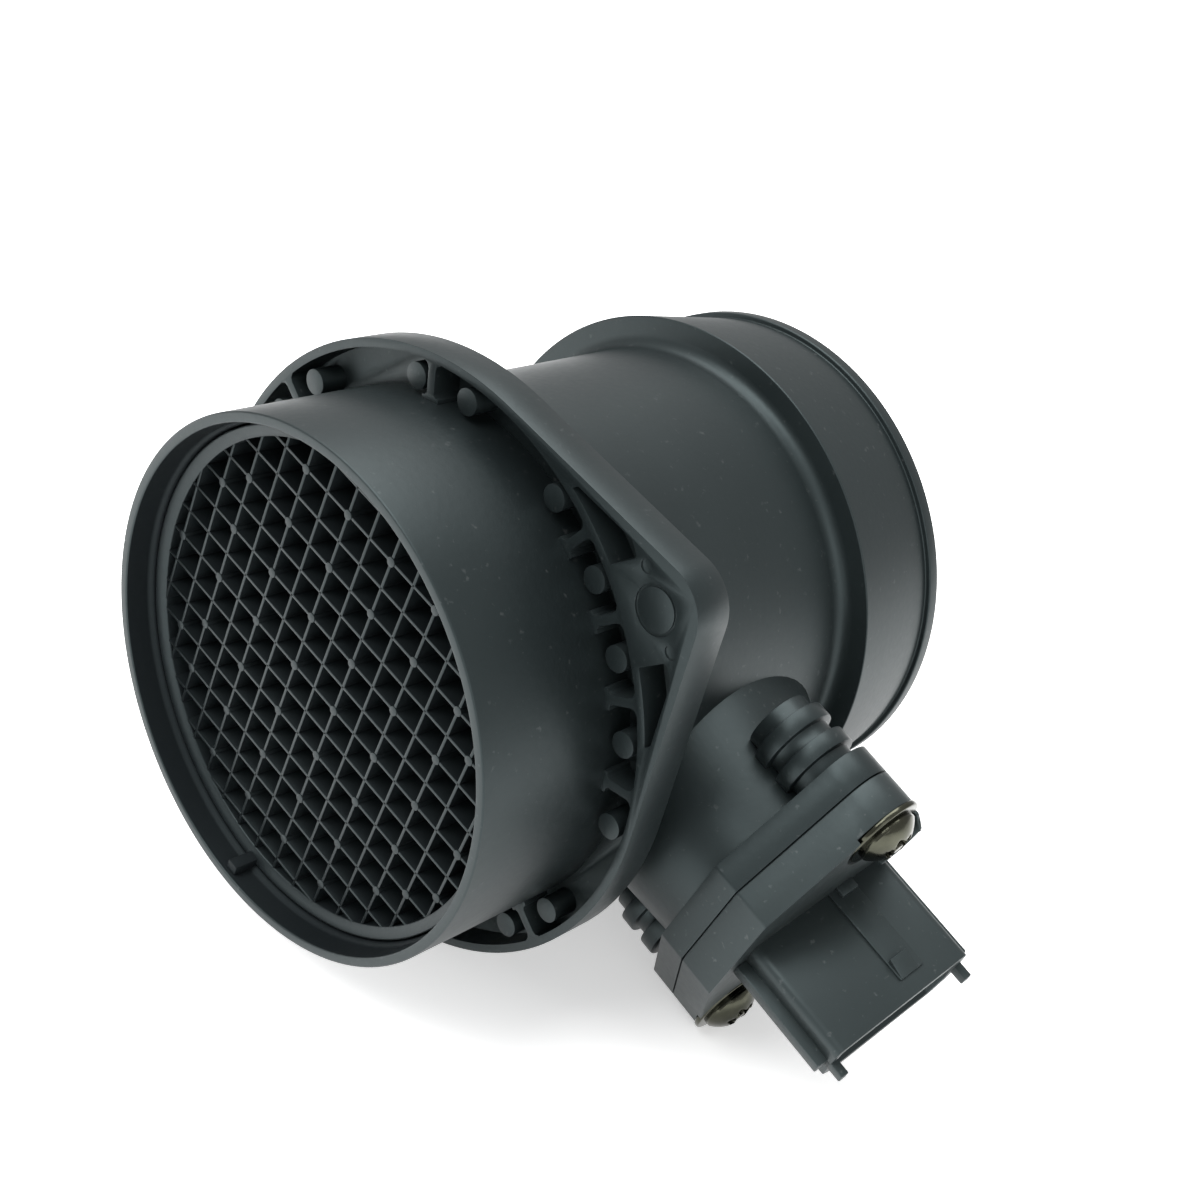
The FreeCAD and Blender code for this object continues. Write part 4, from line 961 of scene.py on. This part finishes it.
@dataclass
class PlugInSensor:
    """The plug-in moulding: its flange, the turned cable header, the plug and the blade."""

    joint: float = 62.1
    deck: float = 68.8
    counterbore: Point = (7.3, 0.9)
    screw_hole: float = 2.8
    edge_round: float = 0.3
    header_turn: float = 20.0
    header_shift: float = 1.8
    header_half: Point = (14.3, 6.4)
    header_chamfer: float = 3.4
    header_corner: float = 1.6
    header_length: float = 20.4
    header_wall: float = 1.6
    socket_depth: float = 16.0
    rail: Point = (2.0, 1.3)
    rail_level: float = 1.2
    rail_setback: float = 0.8
    peg: Triple = (0.75, 1.1, 2.6)
    latch: Quad = (4.2, 2.5, 0.5, 1.7)
    ramp: Quad = (3.0, 3.4, 3.7, 1.75)
    latch_foot: Triple = (4.8, 1.7, 1.3)
    guard: Quad = (6.8, 7.5, -70.0, 14.0)
    guard_height: Point = (2.4, 0.4)
    plug_half: Point = (15.2, 7.7)
    plug_corner: float = 4.8
    plug_depth: float = 12.0
    groove: Triple = (5.0, 2.8, 1.9)
    blade_half: Point = (14.0, 6.5)
    blade_tip: float = -15.0
    recesses: dict[str, tuple[float, ...]] = field(default_factory=lambda: {
        "electronics_lid_seat": (5.3, 7.5, -12.0, 12.0, 13.0, 46.0),
        "electronics_chamber": (1.6, 7.5, -11.0, 11.0, 14.0, 45.0),
        "bypass_lid_seat": (5.3, 7.5, -15.0, 10.5, -13.0, 11.0),
        "air_inlet": (-3.2, 7.5, -15.0, 9.5, -12.0, -6.0),
        "air_turn": (-3.2, 7.5, 3.5, 9.5, -12.0, 10.0),
        "air_return": (-3.2, 7.5, -9.5, 9.5, 4.0, 10.0),
        "air_outlet": (-7.5, 7.5, -9.5, -3.5, 4.0, 10.0),
        "chip_window": (1.6, 2.8, -2.5, 2.5, 7.0, 17.0),
        "probe_recess": (-7.5, -3.1, -3.5, 3.5, 21.0, 36.0)})

    def flange(self) -> Piece:
        """Model the sensor's flange with the two washer seats.

        Returns:
            The piece, in its local frame.
        """
        plate = prism("sensor_flange", sensor_flange(), self.joint, self.deck)
        radius, depth = self.counterbore
        for x, y in SCREWS:
            seat = prism("seat", circle_outline(radius, 96, x, y), self.deck - depth,
                         self.deck + OVER)
            cut(plate, seat)
            hole = prism("hole", circle_outline(self.screw_hole, 48, x, y), self.joint - OVER,
                         self.deck + OVER)
            cut(plate, hole)
        round_edges(plate, self.edge_round)
        near, far, first, last = self.guard
        (x, y), (high, low) = SCREWS[0], self.guard_height
        turns = [math.radians(first + (last - first) * step / 18) for step in range(19)]
        outline = [(x + far * math.cos(turn), y + far * math.sin(turn)) for turn in turns]
        outline += [(x + near * math.cos(turn),
                     y + near * math.sin(turn)) for turn in reversed(turns)]
        wall = prism("screw_guard", outline, self.deck - 0.5, self.deck + high)
        for vertex in wall.data.vertices:
            if vertex.co.z > self.deck:
                turn = math.degrees(math.atan2(vertex.co.y - y, vertex.co.x - x))
                vertex.co.z -= (high - low) * max(0.0, turn) / last
        round_edges(wall, 0.2)
        return merge([plate, wall], "sensor_flange")

    def header_outline(self, inset: float) -> Outline:
        """Return the header's outline, moved inwards by an inset.

        Args:
            inset: How far it is moved inwards.

        Returns:
            The outline, in order.
        """
        wide, deep = self.header_half[0] - inset, self.header_half[1] - inset
        cut = self.header_chamfer - 0.4 * inset
        corners = [(-wide, deep), (-wide, cut - deep), (cut - wide, -deep), (wide - cut, -deep),
                   (wide, cut - deep),
                   (wide, deep)]
        return rounded(corners, max(self.header_corner - 0.5 * inset, 0.5), 5)

    def header(self) -> Piece:
        """Model the header: shell, latch strip and ramp, side rails with pegs, and the dark socket.

        Returns:
            The piece, in its local frame.
        """
        mouth = self.deck + self.header_length
        shell = prism("header", self.header_outline(0.0), self.deck - 0.9, mouth)
        socket = prism("socket", self.header_outline(self.header_wall), mouth - self.socket_depth,
                       mouth + OVER)
        cut(shell, socket)
        round_edges(shell, 0.2)
        parts = [shell]
        middle, half, low, high = self.latch
        setback, length, ramp_middle, ramp_half = self.ramp
        face = self.header_half[1]
        strip = prism("latch_strip", box_outline(half, low, middle, face), self.deck - 0.5,
                      mouth - setback)
        round_edges(strip, 0.2)
        ramp = prism("latch_ramp", box_outline(ramp_half, high, ramp_middle, face),
                     mouth - setback - length,
                     mouth - setback)
        for vertex in ramp.data.vertices:
            if vertex.co.z > mouth - setback - 0.5 * length and vertex.co.y > face:
                vertex.co.y -= high - low
        round_edges(ramp, 0.15)
        foot_x, foot_half, foot_height = self.latch_foot
        foot = prism("latch_foot", box_outline(foot_half, foot_height, foot_x, face),
                     self.deck - 0.5,
                     self.deck + 1.4 * foot_height)
        round_edges(foot, 0.25)
        parts += [strip, ramp, foot]
        reach, thick = self.rail
        thin, deep, longer = self.peg
        for side in (-1, 1):
            rail = prism("rail",
                         box_outline(reach, thick, side * self.header_half[0], self.rail_level),
                         self.deck,
                         mouth - self.rail_setback)
            peg = prism("peg",
                        box_outline(thin, deep, side * (self.header_half[0] - thin),
                                    self.rail_level),
                        mouth - 2 * longer, mouth + longer)
            for part in (rail, peg):
                round_edges(part, 0.22)
                parts.append(part)
        return turned(merge(parts, "header"), self.header_turn, (self.header_shift, 0, 0))

    def blade(self) -> Piece:
        """Model the plug and the blade with its lid seats, air channel and probe recess.

        Returns:
            The piece, in its local frame.
        """
        plug = prism("plug", rounded(box_outline(*self.plug_half), self.plug_corner),
                     self.joint - self.plug_depth,
                     self.joint + 1.0)
        top, height, depth = self.groove
        level = self.joint - top
        bed = rounded(box_outline(self.plug_half[0] - depth, self.plug_half[1] - depth),
                      self.plug_corner - depth)
        band = prism("band", rounded(box_outline(18.0, 10.0), 5.0), level - height, level)
        cut(band, prism("bed", bed, level - height - OVER, level + OVER))
        cut(plug, band)
        round_edges(plug, 0.2)
        blade = prism("blade", rounded(box_outline(*self.blade_half), 2.2), self.blade_tip,
                      self.joint - self.plug_depth + 1)
        for near, far, left, right, low, high in self.recesses.values():
            outline = box_outline((right - left) / 2, (far - near) / 2, (left + right) / 2,
                                  (near + far) / 2)
            cut(blade, prism("cut", outline, low, high))
        round_edges(blade, 0.15)
        return merge([plug, blade], "blade")

    def build(self) -> Piece:
        """Model the whole moulding.

        Returns:
            The finished piece, in the model's frame.
        """
        piece = finish_shape(merge([self.flange(), self.header(), self.blade()], "plug_in_sensor"),
                             Axis.SENSOR)
        dress(piece, SENSOR_BLACK, ["sensor_body"])
        return piece


@dataclass
class Fasteners:
    """The two domed screws with a lobed recess and centre pin, and the washers below them."""

    seat: float = 67.9
    washer_radius: float = 6.7
    washer_bore: float = 2.65
    washer_thickness: float = 1.0
    head_radius: float = 5.1
    head_height: float = 3.5
    head_band: float = 0.9
    shank_radius: float = 2.4
    shank_length: float = 18.0
    recess_radius: float = 2.35
    lobe_radius: float = 0.75
    lobe_inset: float = 0.1
    lobe_count: int = 6
    lobe_points: int = 72
    recess_depth: float = 2.1
    pin_radius: float = 0.85

    def washer(self, name: str, place: Point) -> Piece:
        """Model one washer.

        Args:
            name: The washer's name.
            place: The screw's place.

        Returns:
            The finished piece, in the model's frame.
        """
        top = self.seat + self.washer_thickness
        piece = lathe(name,
                      [(self.washer_radius, self.seat), (self.washer_radius, top),
                       (self.washer_bore, top),
                             (self.washer_bore, self.seat)], 96, closed=True)
        round_edges(piece, 0.3, segments=3)
        piece.data.transform(Matrix.Translation((*place, 0)))
        return finish_shape(piece, Axis.SENSOR)

    def screw(self, name: str, place: Point) -> Piece:
        """Model one screw.

        Args:
            name: The screw's name.
            place: The screw's place.

        Returns:
            The finished piece, in the model's frame.
        """
        low = self.seat + self.washer_thickness
        rise = self.head_height - self.head_band
        dome = (self.head_radius ** 2 + rise ** 2) / (2 * rise)
        start = math.degrees(math.asin(self.head_radius / dome))
        crown = [(dome * math.sin(math.radians(start * (1 - step / 10))),
                  low + self.head_height - dome + dome * math.cos(math.radians(start * (1 - step / 10))))
                 for step in range(10)]
        profile = [(0.7 * self.shank_radius, low - self.shank_length),
                   (self.shank_radius, low - self.shank_length + 1.4), (self.shank_radius, low),
                   (self.head_radius, low), *crown, (0.5, low + self.head_height)]
        piece = lathe(name, profile, 96)
        lobes: Outline = []
        for index in range(self.lobe_points):
            turn = 2 * math.pi * index / self.lobe_points
            swell = self.lobe_radius * (0.5 + 0.5 * math.cos(self.lobe_count * turn))
            reach = self.recess_radius + swell - self.lobe_inset
            lobes.append((reach * math.cos(turn), reach * math.sin(turn)))
        top = low + self.head_height
        cut(piece, prism("drive", lobes, top - self.recess_depth, top + OVER))
        pin = prism("pin", circle_outline(self.pin_radius, 32), top - self.recess_depth - 0.2,
                    top - 0.4)
        join(piece, pin)
        round_edges(piece, 0.12)
        piece.data.transform(Matrix.Translation((*place, 0)))
        return finish_shape(piece, Axis.SENSOR)

    def build(self) -> list[Piece]:
        """Model both screws and both washers.

        Returns:
            The four pieces.
        """
        pieces = []
        for label, place in zip(("rear", "front"), SCREWS):
            washer = self.washer("bronze_washer_" + label, place)
            dress(washer, BRONZE_STEEL, ["washer_" + label])
            screw = self.screw("bronze_screw_" + label, place)
            dress(screw, BRONZE_STEEL, ["screw_" + label])
            pieces += [washer, screw]
        return pieces


@dataclass
class InnerParts:
    """The CAD pieces whose shape stays as it is, such as seal, terminals, lids and inserts."""

    finishes: dict[str, Finish] = field(default_factory=lambda: {
        "seal_ring": SEAL_BLACK, "terminal": BRASS, "electronics_cover": COVER_BLACK,
        "bypass_cover": COVER_BLACK,
        "carrier_plate": ALUMINIUM, "circuit_board": BOARD_GREEN, "sensing_chip": CHIP_GREY,
        "temperature_probe": BEAD_BLACK, "ear_insert": BRASS})

    def build(self) -> None:
        """Give every remaining CAD node its finish."""
        for name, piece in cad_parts.items():
            for start, finish in self.finishes.items():
                if name.startswith(start):
                    for slot in piece.material_slots:
                        slot.material = finish.build()
                    LOG.info("%s: %s", name, finish.name)


@dataclass
class Studio:
    """A pale floor, soft light and the camera at the photograph's angle."""

    floor_half: float = 6.0
    place: Triple = (-164.63, -163.49, 144.69)
    right: Triple = (0.64434, -0.73122, 0.22392)
    down: Triple = (-0.27455, -0.49447, -0.8247)
    focal_pixels: float = 1706.9
    image_pixels: float = 1200.0
    # Floor glow levels, with the reach and centre point of its low zone: the glow is low near the object
    # and rises outwards, a painted shadow.
    glow: Point = (0.42, 0.9)
    painted_shadow_reach: Point = (0.05, 0.12)
    painted_shadow_centre: Point = (0.06, -0.02)
    sky: Point = (0.54, 0.68)
    shift: Point = (-0.08333, 0.08333)
    aim: Triple = (0.03, -0.02, 0.0)

    def camera(self) -> None:
        """Set the camera."""
        data = bpy.data.cameras.new("camera")
        data.sensor_width = 36.0
        data.lens = self.focal_pixels / self.image_pixels * data.sensor_width
        data.shift_x, data.shift_y = self.shift
        data.clip_start, data.clip_end = 0.01, 50.0
        camera = bpy.data.objects.new("camera", data)
        bpy.context.scene.collection.objects.link(camera)
        right, up = Vector(self.right).normalized(), -Vector(self.down).normalized()
        back = right.cross(up)
        turn = Matrix((right, up, back)).transposed().to_4x4()
        camera.matrix_world = Matrix.Translation(Vector(self.place) * MM) @ turn
        bpy.context.scene.camera = camera

    def floor(self) -> None:
        """Lay the floor, white to the camera, with the lamps' shadow and a painted shadow: its glow to
        the camera and in reflections is weakest near the object and rises outwards.
        """
        deselect_all()
        bpy.ops.mesh.primitive_plane_add(size=2 * self.floor_half,
                                         location=(*self.painted_shadow_centre, FLOOR_LEVEL * MM))
        floor = bpy.context.object
        floor.name = "floor"
        material = bpy.data.materials.new("white_floor")
        material.use_nodes = True
        tree = material.node_tree
        shader = tree.nodes["Principled BSDF"]
        shader.inputs["Base Color"].default_value = (0.95, 0.95, 0.95, 1)
        shader.inputs["Roughness"].default_value = 0.9
        shader.inputs["Specular IOR Level"].default_value = 0.1
        shader.inputs["Emission Color"].default_value = (1, 1, 1, 1)
        place = tree.nodes.new("ShaderNodeTexCoord")
        reach = tree.nodes.new("ShaderNodeVectorMath")
        reach.operation = "LENGTH"
        tree.links.new(place.outputs["Object"], reach.inputs[0])
        rise = tree.nodes.new("ShaderNodeMapRange")
        rise.inputs["From Min"].default_value, rise.inputs["From Max"].default_value = self.painted_shadow_reach
        rise.inputs["To Min"].default_value, rise.inputs["To Max"].default_value = self.glow
        tree.links.new(reach.outputs["Value"], rise.inputs["Value"])
        level = self.reckoned(tree, "MULTIPLY", rise.outputs["Result"], self.seen(tree))
        tree.links.new(level, shader.inputs["Emission Strength"])
        floor.data.materials.append(material)

    @staticmethod
    def reckoned(tree: Tree, operation: str, first: Socket,
                 second: Socket) -> Socket:
        """Join two sockets by a math node.

        Args:
            tree: The node tree to add the node to.
            operation: Blender's name for the operation.
            first: The first value.
            second: The second value.

        Returns:
            The socket with the result.
        """
        node = tree.nodes.new("ShaderNodeMath")
        node.operation = operation
        tree.links.new(first, node.inputs[0])
        tree.links.new(second, node.inputs[1])
        return node.outputs["Value"]

    @staticmethod
    def seen(tree: Tree) -> Socket:
        """Return a socket that is 1 for camera, glossy and transmission rays and 0 for all others.

        Args:
            tree: The node tree to add the nodes to.

        Returns:
            The socket with the 0 or 1.
        """
        path = tree.nodes.new("ShaderNodeLightPath")
        known = path.outputs["Is Camera Ray"]
        for ray in ("Is Glossy Ray", "Is Transmission Ray"):
            known = Studio.reckoned(tree, "MAXIMUM", known, path.outputs[ray])
        return known

    def world(self) -> None:
        """Set an even pale world, brighter to the camera and in reflections than as a lamp."""
        world = bpy.data.worlds.new("studio")
        bpy.context.scene.world = world
        world.use_nodes = True
        tree = world.node_tree
        ground = tree.nodes["Background"]
        level = tree.nodes.new("ShaderNodeMapRange")
        level.inputs["To Min"].default_value, level.inputs["To Max"].default_value = self.sky
        tree.links.new(self.seen(tree), level.inputs["Value"])
        path = tree.nodes.new("ShaderNodeLightPath")
        white = self.reckoned(tree, "MAXIMUM", level.outputs["Result"],
                              path.outputs["Is Camera Ray"])
        tree.links.new(white, ground.inputs["Strength"])
        ground.inputs["Color"].default_value = (1, 1, 1, 1)

    def lamp(self, name: str, place: Triple, size: float, watts: float) -> None:
        """Hang one soft square lamp that faces the object.

        Args:
            name: The lamp's name.
            place: Its place, in metres.
            size: Its side, in metres.
            watts: Its power.
        """
        data = bpy.data.lights.new(name, "AREA")
        data.energy, data.size = watts, size
        lamp = bpy.data.objects.new(name, data)
        bpy.context.scene.collection.objects.link(lamp)
        lamp.location = place
        aim = Vector(self.aim) - Vector(place)
        lamp.rotation_euler = aim.to_track_quat("-Z", "Y").to_euler()

    def build(self) -> None:
        """Set the whole studio."""
        self.camera()
        self.floor()
        self.world()
        self.lamp("overhead", (0.1, 0.25, 0.9), 0.8, 9.0)
        self.lamp("front", (-0.5, -0.9, 0.45), 0.7, 3.0)
        self.lamp("over_left", (-0.55, 0.15, 0.80), 0.5, 5.5)
        bpy.context.scene.view_settings.view_transform = "Standard"


def main() -> None:
    """Build the studio and every piece of the sensor."""
    logging.basicConfig(level=logging.INFO, format="%(message)s")
    Studio().build()
    for maker in (Duct(), Flange(), SensorSeat(), InletLattice(), PlugInSensor(), Fasteners(),
                  InnerParts()):
        maker.build()
        LOG.info("built: %s", type(maker).__name__)
    deselect_all()


if __name__ == "__main__":
    main()
